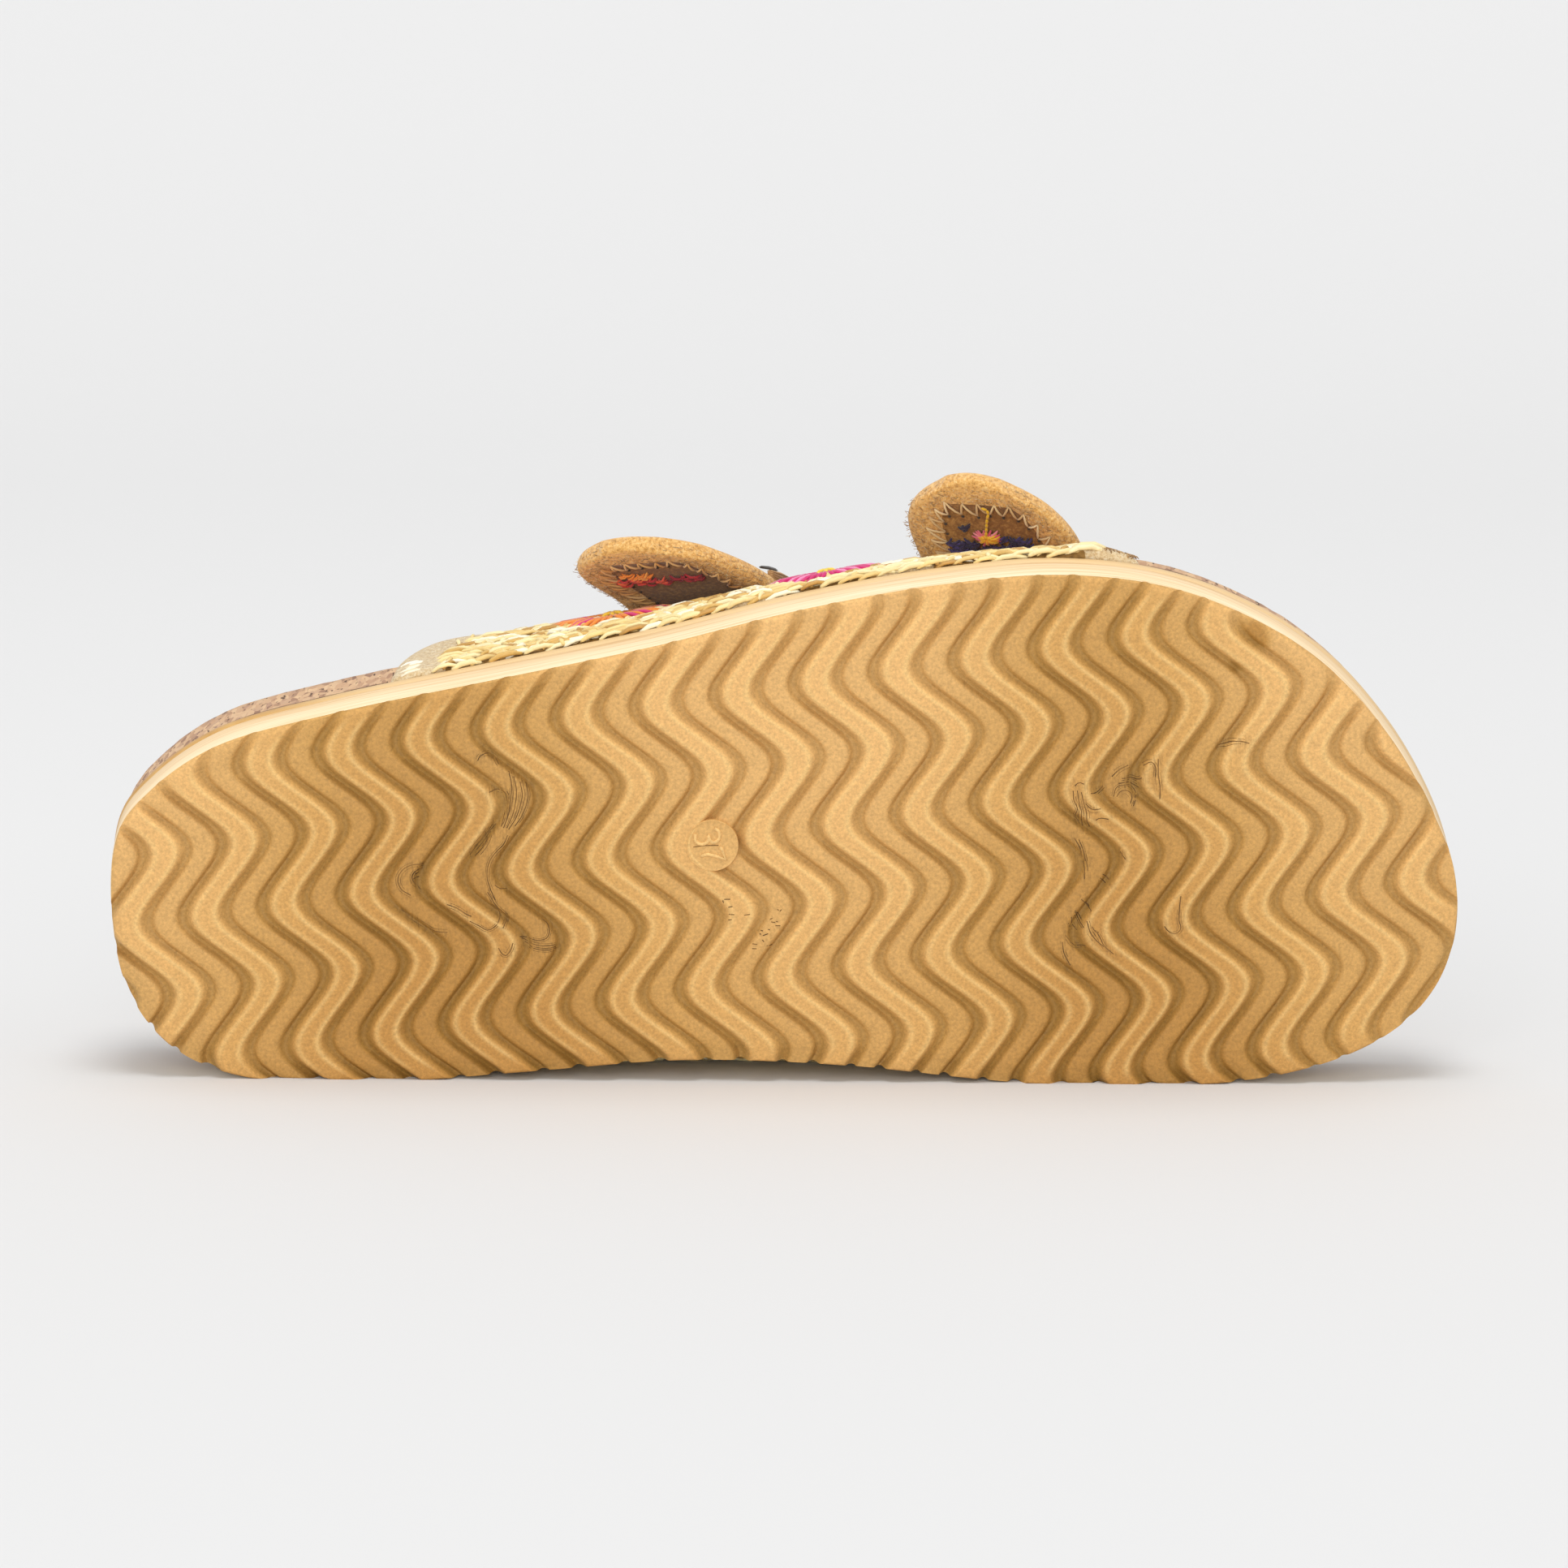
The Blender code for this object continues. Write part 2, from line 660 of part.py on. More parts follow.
def upper_object(name, mesh, material, group):
    item = new_object(name, mesh, material, group)
    item.vertex_groups.new(name="binding")
    wall = item.modifiers.new("wall", "SOLIDIFY")
    wall.thickness = BINDING * MM
    wall.offset = 0.0
    wall.vertex_group = "binding"
    return item


def wire_object(name, points, radius, closed, material, group):
    """Bent round wire along a chain of points."""
    curve = bpy.data.curves.new(name, "CURVE")
    curve.dimensions = "3D"
    curve.bevel_depth = radius * MM
    curve.bevel_resolution = 2
    curve.use_fill_caps = not closed
    spline = curve.splines.new("POLY")
    spline.points.add(len(points) - 1)
    for knot, point in zip(spline.points, points):
        knot.co = (*(point * MM), 1.0)
    spline.use_cyclic_u = closed
    curve.materials.append(material)
    item = bpy.data.objects.new(name, curve)
    group.objects.link(item)
    return item


def rounded(value):
    return math.copysign(abs(value) ** FRAME_SQUARENESS, value)


def far_bar_lift():
    return strap_lift(FRAME_FAR) + BINDING / 2 + FRAME_RADIUS + FAR_BAR_CLEAR


def buckle_points(back, front):
    """Frame round the strap: pivot bar under it, far bar over it, side bars past its edges."""
    middle = (back + front) / 2
    half = (front - back) / 2 + FRAME_RADIUS + FRAME_SIDE
    centre = (FRAME_PIVOT + FRAME_FAR) / 2
    reach = (FRAME_FAR - FRAME_PIVOT) / 2
    points = []
    for k in range(FRAME_POINTS):
        turn = 2 * math.pi * (k + 0.5) / FRAME_POINTS
        along = middle + half * rounded(math.cos(turn))
        share = rounded(math.sin(turn))
        lift = PIVOT_RISE + (far_bar_lift() - PIVOT_RISE) * (share + 1) / 2
        points.append(upper_point(along, centre + reach * share, lift))
    return points


def prong_points(back, front):
    """Pin on the strap that rests over the far bar."""
    middle = (back + front) / 2
    clear = WALL / 2 + WEAVE_RISE + PRONG_RADIUS + GAP
    rest = far_bar_lift() + FRAME_RADIUS + PRONG_RADIUS + GAP
    route = ((PRONG_START, strap_lift(PRONG_START) + clear),
             (PRONG_REST, strap_lift(PRONG_REST) + clear + GAP),
             (FRAME_FAR - PRONG_OVER, rest),
             (FRAME_FAR + PRONG_OVER, rest),
             (PRONG_END, rest - GAP))
    return [upper_point(middle, girth, lift) for girth, lift in route]


def colour_materials():
    made = {}
    for name, (red, green, blue, roughness, metallic) in COLOURS.items():
        material = bpy.data.materials.new(name)
        material.use_nodes = True
        shader = material.node_tree.nodes["Principled BSDF"]
        shader.inputs["Base Color"].default_value = (red, green, blue, 1.0)
        shader.inputs["Roughness"].default_value = roughness
        shader.inputs["Metallic"].default_value = metallic
        made[name] = material
    return made


def cut(item, cutter):
    modifier = item.modifiers.new(cutter.name, "BOOLEAN")
    modifier.operation = "DIFFERENCE"
    modifier.object = cutter


def cutter_object(name, mesh, group):
    item = new_object(name, mesh, None, group)
    item.hide_render = True
    item.display_type = "WIRE"
    return item


def floor_block(group):
    """Everything under the floor, to press the flat spots."""
    bm = bmesh.new()
    bmesh.ops.create_cube(bm, size=FLOOR_BLOCK * MM)
    bmesh.ops.translate(bm, verts=bm.verts, vec=(0, 0, -FLOOR_BLOCK / 2 * MM))
    return cutter_object("floor_block", finish_mesh(bm, "floor_block"), group)


def centre_on_origin(pose, items):
    """Move the lying shoe so that the origin is under the middle of its box."""
    bpy.context.view_layer.update()
    graph = bpy.context.evaluated_depsgraph_get()
    corners = []
    for item in items:
        solid = item.evaluated_get(graph)
        mesh = solid.to_mesh()
        corners += [solid.matrix_world @ vert.co for vert in mesh.vertices]
        solid.to_mesh_clear()
    for axis in (0, 1):
        values = [corner[axis] for corner in corners]
        pose.location[axis] -= (min(values) + max(values)) / 2


def main():
    for item in list(bpy.data.objects):
        bpy.data.objects.remove(item, do_unlink=True)
    parts = bpy.data.collections.new("footbed_mule")
    cutters = bpy.data.collections.new("cutters")
    for group in (parts, cutters):
        bpy.context.scene.collection.children.link(group)
    paint = colour_materials()

    outsole = new_object("outsole", outsole_mesh(), paint["eva_foam"], parts)
    footbed = new_object("footbed", footbed_mesh(), paint["cork"], parts)
    insole = insole_object(paint["suede_sock"], parts)
    strap_mesh = upper_mesh("upper_straps", STRAP_LAYOUT, STRAP_ROWS, STRAP_NOTCH, TAIL_STEPS)
    straps = upper_object("upper_straps", strap_mesh, paint["raffia"], parts)
    quarter_mesh = upper_mesh("upper_quarter", QUARTER_LAYOUT, QUARTER_ROWS, QUARTER_NOTCH, ())
    quarter = upper_object("upper_quarter", quarter_mesh, paint["raffia"], parts)
    items = [outsole, footbed, insole, straps, quarter]
    pivot = STRAP_LAYOUT[-1]
    metal = paint["buckle_metal"]
    for name, back, front in (("rear", *pivot[1:3]), ("front", *pivot[3:5])):
        frame = buckle_points(back, front)
        pin = prong_points(back, front)
        items.append(wire_object(f"buckle_{name}", frame, FRAME_RADIUS, True, metal, parts))
        items.append(wire_object(f"prong_{name}", pin, PRONG_RADIUS, False, metal, parts))

    tread_cutter = cutter_object("tread_cutter", tread_cutter_mesh(), cutters)
    pose = bpy.data.objects.new("lying_pose", None)
    parts.objects.link(pose)
    pose.rotation_mode = "QUATERNION"
    pose.rotation_quaternion = LYING.to_quaternion()
    pose.location = (0.0, 0.0, FLOOR_RISE * MM)
    for item in items + [tread_cutter]:
        item.parent = pose
    cut(outsole, tread_cutter)
    floor = floor_block(cutters)
    for item in (outsole, straps):
        cut(item, floor)
    centre_on_origin(pose, items)


main()
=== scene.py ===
import math
import random

import bmesh
import bpy
import numpy as np
from mathutils import Matrix, Vector, noise


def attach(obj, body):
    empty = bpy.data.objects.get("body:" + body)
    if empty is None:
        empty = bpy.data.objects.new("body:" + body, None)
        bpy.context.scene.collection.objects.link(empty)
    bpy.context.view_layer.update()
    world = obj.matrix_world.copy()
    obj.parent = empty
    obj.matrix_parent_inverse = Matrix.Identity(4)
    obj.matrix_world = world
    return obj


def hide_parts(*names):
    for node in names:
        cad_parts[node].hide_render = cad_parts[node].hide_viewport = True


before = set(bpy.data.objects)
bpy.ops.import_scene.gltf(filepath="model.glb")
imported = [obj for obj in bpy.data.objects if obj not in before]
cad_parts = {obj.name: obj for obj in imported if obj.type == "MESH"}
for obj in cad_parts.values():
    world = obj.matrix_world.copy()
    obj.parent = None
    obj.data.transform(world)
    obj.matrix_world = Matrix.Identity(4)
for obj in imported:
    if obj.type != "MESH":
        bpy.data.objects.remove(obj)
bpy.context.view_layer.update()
random.seed(37)
mm = 0.001

# the shoe is drawn upright in millimetres: x heel to toe, y to the medial side, z up, then laid on its side
shoe = {
    "lean": 5.0,               # degrees from the sole edge to the upper
    "level": 5.574,            # degrees that put heel and ball on the floor
    "place": (-125.333, -35.59, 30.435),
    "length": 250.0,
    "heelTip": 0.8,
    "toeTip": 19.0,
    "plan": (                  # along, lateral edge, medial edge
        (2.3, -14.8, 15.0), (10.0, -24.0, 26.3), (22.0, -30.9, 32.3), (45.0, -35.5, 35.5),
        (75.0, -39.1, 36.0), (105.0, -42.7, 36.5), (135.0, -47.4, 40.4), (160.0, -49.6, 45.4),
        (180.0, -49.6, 48.8), (200.0, -45.7, 50.1), (217.0, -37.4, 49.4), (230.0, -26.6, 46.5),
        (240.0, -12.8, 41.2), (247.0, 2.6, 32.6)),
    "foamHeel": 14.5,
    "foamToe": 12.5,
    "toeSpring": (5.0, 185.0),     # rise, start
    "heelBevel": (1.0, 20.0),      # rise, end
}
lying = (Matrix.Rotation(math.radians(shoe["lean"]), 3, "X")
         @ Matrix.Rotation(-math.radians(shoe["level"]), 3, "Y")
         @ Matrix.Rotation(-math.pi / 2, 3, "X"))
layRows = np.array(lying)
layPlace = np.array(shoe["place"])


def lay(points):
    return (np.asarray(points, float) @ layRows.T + layPlace) * mm


def stand(points):
    return (np.asarray(points, float) / mm - layPlace) @ layRows


def smoothTable(knots, values, at):
    knots, values = np.asarray(knots, float), np.asarray(values, float)
    slopes = np.gradient(values, knots)
    at = np.clip(at, knots[0], knots[-1])
    row = np.clip(np.searchsorted(knots, at) - 1, 0, len(knots) - 2)
    span = knots[row + 1] - knots[row]
    t = (at - knots[row]) / span
    start = (1 + 2 * t) * (1 - t) ** 2 * values[row] + t * (1 - t) ** 2 * span * slopes[row]
    end = t * t * (3 - 2 * t) * values[row + 1] + t * t * (t - 1) * span * slopes[row + 1]
    return start + end


def column(table, index, at):
    return smoothTable([row[0] for row in table], [row[index] for row in table], at)


def ease(low, high, value):
    t = np.clip((np.asarray(value, float) - low) / (high - low), 0.0, 1.0)
    return t * t * (3 - 2 * t)


def angleAt(along):
    return np.arccos(np.clip(1 - 2 * np.asarray(along, float) / shoe["length"], -1.0, 1.0))


def alongAt(angle):
    return shoe["length"] / 2 * (1 - np.cos(angle))


def planKnots():
    lateral = [(angleAt(x), y) for x, y, _ in shoe["plan"]]
    medial = [(2 * math.pi - angleAt(x), y) for x, _, y in reversed(shoe["plan"])]
    loop = [(0.0, shoe["heelTip"])] + lateral + [(math.pi, shoe["toeTip"])] + medial
    before = [(a - 2 * math.pi, y) for a, y in loop[-2:]]
    after = [(a + 2 * math.pi, y) for a, y in loop[:2]]
    return np.array(before + loop + after, float)


planLoop = planKnots()


def planY(angle):
    return smoothTable(planLoop[:, 0], planLoop[:, 1], angle)


def edgeY(along, side):
    angle = angleAt(along)
    return planY(angle if side == "lateral" else 2 * math.pi - angle)


def ringPoint(angle, offset):
    step = 0.004
    angle = np.asarray(angle, float)
    run = shoe["length"] / 2 * np.sin(angle)
    rise = (planY(angle + step) - planY(angle - step)) / (2 * step)
    size = np.hypot(run, rise)
    return alongAt(angle) + offset * rise / size, planY(angle) - offset * run / size


def treadHeight(along):
    toeRise, toeStart = shoe["toeSpring"]
    heelRise, heelEnd = shoe["heelBevel"]
    toe = np.maximum(along - toeStart, 0.0) / (shoe["length"] - toeStart)
    heel = np.maximum(heelEnd - along, 0.0) / heelEnd
    return toeRise * toe ** 2 + heelRise * heel ** 2


def foamTop(along):
    thinning = (shoe["foamToe"] - shoe["foamHeel"]) * along / shoe["length"]
    return treadHeight(along) + shoe["foamHeel"] + thinning


def floorY(along, height):
    row = layRows[2]
    return -(row[0] * along + row[2] * height + shoe["place"][2]) / row[1]


# node and piece helpers

def linear(text):
    parts = [int(text[k:k + 2], 16) / 255 for k in (1, 3, 5)]
    return tuple(p / 12.92 if p <= 0.04045 else ((p + 0.055) / 1.055) ** 2.4 for p in parts) + (1.0,)


def addNode(tree, kind, settings=None, links=None, stops=None):
    node = tree.nodes.new(kind)
    for key, value in (settings or {}).items():
        if isinstance(key, str) and hasattr(node, key):
            setattr(node, key, value)
        else:
            node.inputs[key].default_value = value
    for socket, source in (links or {}).items():
        tree.links.new(source, node.inputs[socket])
    if stops:
        marks = node.color_ramp.elements
        while len(marks) < len(stops):
            marks.new(0.5)
        for mark, (place, colour) in zip(marks, stops):
            mark.position = place
            mark.color = linear(colour) if isinstance(colour, str) else (colour, colour, colour, 1.0)
    return node


def newMaterial(name):
    material = bpy.data.materials.new(name)
    material.use_nodes = True
    tree = material.node_tree
    return material, tree, tree.nodes["Principled BSDF"]


def shoeCoordinates(tree):
    # Object coordinates turned back to the upright shoe, so a pattern can follow its height
    turn = lying.transposed()
    place = turn @ Vector(shoe["place"]) * -mm
    spot = addNode(tree, "ShaderNodeTexCoord")
    return addNode(tree, "ShaderNodeMapping", {"Rotation": turn.to_euler("XYZ"), "Location": place},
                   {"Vector": spot.outputs["Object"]}).outputs["Vector"]


def bumpInto(tree, shader, height, strength, depth):
    bump = addNode(tree, "ShaderNodeBump", {"Strength": strength, "Distance": depth * mm},
                   {"Height": height})
    tree.links.new(bump.outputs["Normal"], shader.inputs["Normal"])


def keepPiece(name, mesh, materials, nodes=()):
    piece = bpy.data.objects.new(name, mesh)
    bpy.context.scene.collection.objects.link(piece)
    for material in materials:
        mesh.materials.append(material)
    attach(piece, "root")
    if nodes:
        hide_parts(*nodes)
    return piece


def applyModifiers(piece):
    graph = bpy.context.evaluated_depsgraph_get()
    piece.data = bpy.data.meshes.new_from_object(piece.evaluated_get(graph))
    piece.modifiers.clear()


def meshFrom(bm, name):
    bmesh.ops.recalc_face_normals(bm, faces=bm.faces)
    mesh = bpy.data.meshes.new(name)
    bm.to_mesh(mesh)
    bm.free()
    mesh.shade_smooth()
    return mesh


def vertexSpots(mesh):
    spots = np.zeros(len(mesh.vertices) * 3)
    mesh.vertices.foreach_get("co", spots)
    return spots.reshape(-1, 3)


def floorClamp(mesh):
    spots = vertexSpots(mesh)
    spots[:, 2] = np.maximum(spots[:, 2], 0.0)
    mesh.vertices.foreach_set("co", spots.ravel())
    mesh.update()


def paintPoints(mesh, values):
    for name, value in values.items():
        layer = mesh.attributes.new(name, "FLOAT", "POINT")
        layer.data.foreach_set("value", np.broadcast_to(value, len(mesh.vertices)).astype(np.float32))


def gridVerts(bm, columns, rows):
    made = bmesh.ops.create_grid(bm, x_segments=columns, y_segments=rows, size=1.0)["verts"]
    i = np.array([round((v.co.x + 1) / 2 * columns) for v in made])
    j = np.array([round((v.co.y + 1) / 2 * rows) for v in made])
    return made, i, j


def loft(bm, lengths, around, place, paint=None):
    # closed tube: a grid wrapped round its sections, both ends filled
    made, i, j = gridVerts(bm, lengths, around)
    if paint:
        for face in {f for v in made for f in v.link_faces}:
            face.material_index = paint(int((face.calc_center_median().y + 1) / 2 * around))
    spots = lay(place(i, j % around))
    for vert, spot in zip(made, spots):
        vert.co = spot
    bmesh.ops.remove_doubles(bm, verts=made, dist=1e-7)
    bmesh.ops.holes_fill(bm, edges=[e for e in bm.edges if e.is_boundary], sides=0)


# foam outsole with its wave tread
tread = {
    "turn": math.radians(3.28),
    "pair": 14.9,
    "ribEdge": 133.2,
    "period": 27.4,
    "cornerRow": 11.5,
    "swing": 4.84,
    "point": 0.026,            # third wave that straightens the flanks
    "profile": (               # along from the tall rib's toe edge, depth
        (0.0, -0.06), (2.3, 1.8), (2.6, 1.8), (3.7, 0.74), (5.5, 0.66), (7.2, 0.72), (8.4, 2.1), (8.8, 2.1),
        (11.2, -0.03), (11.8, 0.0), (14.2, 0.0), (14.9, -0.06)),
    "heelEdge": 11.3,          # along to the tall rib's heel edge
    "columns": 30,
    "rowStep": 1.0,
    "reach": 68.0,
    "under": 2.0,
    "skim": 0.09,              # cut this deep even on the tall ribs
    "runOut": (4.2, 0.5, 1.5),     # reach from the edge, share of depth at the lateral and medial edge
    "medialFrom": (-16.0, 6.0),    # y where the medial share starts and is full
    "toeFade": (200.0, 232.0, 0.6),    # along where the medial share fades, and by how much
}


def waveOffset(across):
    phase = 2 * math.pi * (across - tread["cornerRow"]) / tread["period"]
    bend = (np.cos(phase) + tread["point"] * np.cos(3 * phase)) / (1 + tread["point"])
    return tread["swing"] * (bend - 1)


def waveToShoe(axis, across):
    c, s = math.cos(tread["turn"]), math.sin(tread["turn"])
    return axis * c - across * s, -(axis * s + across * c)


def wavePlace(x, y):
    c, s = math.cos(tread["turn"]), math.sin(tread["turn"])
    return np.mod(x * c - y * s - waveOffset(-x * s - y * c) - tread["ribEdge"], tread["pair"])


def nearest(x, y, points):
    found = []
    for part in np.array_split(np.column_stack([x, y]), 80):       # in parts, to spare memory
        apart = (part[:, None] - points[None]).transpose(2, 0, 1)
        found.append(np.min(np.hypot(*apart), axis=1))
    return np.concatenate(found)


def edgeDistance(x, y):
    ring = np.column_stack(ringPoint(np.linspace(0.0, 2 * math.pi, 360), 0.0))
    along = np.clip(x, 0.5, shoe["length"] - 0.5)
    inside = (x > 0) & (x < shoe["length"]) & (y > edgeY(along, "lateral")) & (y < edgeY(along, "medial"))
    return np.where(inside, nearest(x, y, ring), 0.0)


def ribDepth(x, y):
    place = wavePlace(x, y)
    low, depth = np.array(tread["profile"]).T
    row = np.clip(np.searchsorted(low, place) - 1, 0, len(low) - 2)
    share = ease(0.0, 1.0, (place - low[row]) / (low[row + 1] - low[row]))
    found = depth[row] + (depth[row + 1] - depth[row]) * share
    full, lateral, medial = tread["runOut"]
    start, end, fade = tread["toeFade"]
    left = lateral + (medial - lateral) * ease(*tread["medialFrom"], y) * (1 - fade * ease(start, end, x))
    return tread["skim"] + found * (left + (1 - left) * ease(0.0, full, edgeDistance(x, y)))


def treadCutter():
    pairs = range(math.floor(-tread["ribEdge"] / tread["pair"]) - 1,
                  math.ceil((shoe["length"] - tread["ribEdge"]) / tread["pair"]) + 2)
    steps = np.linspace(0.0, tread["pair"], tread["columns"] + 1)[:-1]
    axes = np.concatenate([tread["ribEdge"] + tread["pair"] * n + steps for n in pairs])
    rowCount = int(2 * tread["reach"] / tread["rowStep"])
    acrossRows = np.linspace(-tread["reach"], tread["reach"], rowCount + 1)
    bm = bmesh.new()
    made, i, j = gridVerts(bm, len(axes) - 1, rowCount)
    x, y = waveToShoe(axes[i] + waveOffset(acrossRows[j]), acrossRows[j])
    rise = treadHeight(np.clip(x, 0.0, shoe["length"]))
    for vert, spot in zip(made, lay(np.column_stack([x, y, rise + ribDepth(x, y)]))):
        vert.co = spot
    shell = bmesh.ops.extrude_face_region(bm, geom=bm.faces[:])["geom"]
    low = [v for v in shell if isinstance(v, bmesh.types.BMVert)]
    for vert in low:
        spot = stand(vert.co)
        vert.co = lay((spot[0], spot[1], -tread["under"]))
    return meshFrom(bm, "grooves")


foam = {
    "stations": 190,
    "acrossCells": 44,
    "edge": (                      # offset, height over the tread
        (-1.7, 0.0), (-1.0, 0.13), (-0.5, 0.4), (-0.15, 0.9), (0.0, 1.7)),
    "medial": (0.55, 0.55),        # the medial edge is squarer: share of the offset, outward step
    "squareRun": 15.0,             # y by which the edge is fully square
    "side": (                      # offset, depth below the top
        (0.15, 7.0), (0.35, 3.5), (0.3, 3.2), (0.15, 3.1),
        (0.35, 2.9), (0.55, 0.5), (0.35, 0.1), (-0.3, 0.0)),
    "belowLip": 3,                 # levels of the side under its lip
}


def foamBody():
    angles = np.linspace(0.0, math.pi, foam["stations"] + 1)
    levels = [("low", o, h) for o, h in foam["edge"]] + [("high", o, h) for o, h in foam["side"]]
    cells = foam["acrossCells"]
    around = [(1, *level) for level in levels] + [(-1, *level) for level in reversed(levels)]
    around += [("floor", k / cells) for k in range(1, cells)]

    def place(i, j):
        out = np.zeros((len(i), 3))
        for level, row in enumerate(around):
            pick = j == level
            a = angles[i[pick]]
            along = alongAt(a)
            if row[0] == "floor":
                x0, y0 = ringPoint(a, foam["edge"][0][0])
                x1, y1 = ringPoint(2 * math.pi - a, foam["edge"][0][0])
                x, y = x1 + (x0 - x1) * row[1], y1 + (y0 - y1) * row[1]
                z = treadHeight(x)
            else:
                side, kind, offset, height = row
                turn = a if side == 1 else 2 * math.pi - a
                x, y = ringPoint(turn, offset)
                if kind == "low":
                    share, step = foam["medial"]
                    square = ease(0.0, foam["squareRun"], y)
                    x, y = ringPoint(turn, offset + square * (step - (1 - share) * offset))
                z = treadHeight(along) + height if kind == "low" else foamTop(along) - height
            out[pick] = np.column_stack([x, y, z])
        return out

    count = len(levels)
    lipStart = len(foam["edge"]) + foam["belowLip"]

    def paint(j):
        low = min(j, 2 * count - 2 - j)
        if j >= 2 * count - 1 or low < len(foam["edge"]) - 2:
            return 0
        return 2 if low >= lipStart else 1

    bm = bmesh.new()
    loft(bm, foam["stations"], len(around), place, paint)
    return meshFrom(bm, "foamSole")


# skin of the foam: wear, stains, painted light paler to the lateral side, painted shade in the grooves and
# painted highlights on the rib edges, in millimetres
skin = {
    "tone": (0.92, 0.3, 40.0),     # painted light: paler to the lateral side, which lies uppermost: tone in the middle, loss, y of that loss
    "wear": ((62, 36, 0.9), (188, 28, 0.8)),       # browner under heel and ball: along, reach, share
    "stains": ((217.6, -33.2, 1.2), (216.6, -35.4, 2.4), (212.5, -28.6, 0.9)),     # along, y, radius
    "stainShare": 1.1,
    "grooveShade": (0.25, 1.7),    # painted shade in the grooves: depth where it starts, depth over which it grows
    "creaseReach": (1.3, 3.0),     # beside a crease, up from the tread
    "ribHighlights": (0.55, 0.4, 0.55),     # painted highlights on the ribs: share of the pale toe edge and heel edge, reach
    "ribHighlightFrom": (1.0, 4.0),     # distance from the sole's edge where they start and are full
    "ribHighlightDepth": 1.2,
    "lipFade": (25.0, 60.0),       # the lip keeps its golden skin only round the heel
}


def evaTread():
    # EVA foam, moulded: dull skin with fine grit, painted highlights on the rib edges, painted shade
    # browner in the grooves
    material, tree, shader = newMaterial("moulded EVA foam tread")
    spot = shoeCoordinates(tree)
    names = ("groove", "tone", "crease", "edge")
    groove, tone, crease, edge = (
        addNode(tree, "ShaderNodeAttribute", {"attribute_name": name}).outputs["Fac"] for name in names)
    rib = addNode(tree, "ShaderNodeValToRGB", {}, {"Fac": tone},
                  ((0.0, "#BC8944"), (0.5, "#CF9E59"), (1.0, "#E2B270")))
    low = addNode(tree, "ShaderNodeValToRGB", {}, {"Fac": tone},
                  ((0.0, "#9C7434"), (0.5, "#B08746"), (1.0, "#C2985A")))
    # painted shade: the grooves take the browner ramp
    base = addNode(tree, "ShaderNodeMix", {"data_type": "RGBA"},
                   {"Factor": groove, 6: rib.outputs["Color"], 7: low.outputs["Color"]})
    # painted highlight: pale gold mixed in along the rib edges
    wearAndHighlight = addNode(tree, "ShaderNodeMix", {"data_type": "RGBA", 7: linear("#EBC580")},
                   {"Factor": edge, 6: base.outputs[2]})
    # wrinkles 0.5 mm wide beside the creases; their furrows darken the colour as painted shade
    fold = addNode(tree, "ShaderNodeMapping", {"Scale": (1 / (0.5 * mm), 1 / (4 * mm), 1 / (4 * mm))},
                   {"Vector": spot})
    wrinkle = addNode(tree, "ShaderNodeTexNoise", {"Scale": 1.0, "Detail": 2.0, "Distortion": 0.8},
                      {"Vector": fold.outputs["Vector"]})
    dark = addNode(tree, "ShaderNodeValToRGB", {}, {"Fac": wrinkle.outputs["Fac"]},
                   ((0.36, 0.78), (0.52, 1.0)))
    grey = addNode(tree, "ShaderNodeMix", {"data_type": "RGBA", "blend_type": "MULTIPLY"},
                   {"Factor": crease, 6: wearAndHighlight.outputs[2], 7: dark.outputs["Color"]})
    # grit of 0.3 mm, drawn 0.6 mm wide so that it shows
    grit = addNode(tree, "ShaderNodeTexNoise", {"Scale": 1 / (0.6 * mm), "Detail": 3.0, "Roughness": 0.7},
                   {"Vector": spot})
    speck = addNode(tree, "ShaderNodeValToRGB", {}, {"Fac": grit.outputs["Fac"]},
                    ((0.3, 0.72), (0.7, 1.17)))
    gritty = addNode(tree, "ShaderNodeMix", {"data_type": "RGBA", "blend_type": "MULTIPLY", "Factor": 0.8},
                     {6: grey.outputs[2], 7: speck.outputs["Color"]})
    tree.links.new(gritty.outputs[2], shader.inputs["Base Color"])
    shader.inputs["Roughness"].default_value = 0.62
    shader.inputs["Specular IOR Level"].default_value = 0.35
    furrow = addNode(tree, "ShaderNodeMath", {"operation": "MULTIPLY"},
                     {0: wrinkle.outputs["Fac"], 1: crease})
    relief = addNode(tree, "ShaderNodeMath", {"operation": "MULTIPLY_ADD", 1: 3.0},
                     {0: furrow.outputs[0], 2: grit.outputs["Fac"]})
    bumpInto(tree, shader, relief.outputs[0], 0.35, 0.25)
    return material


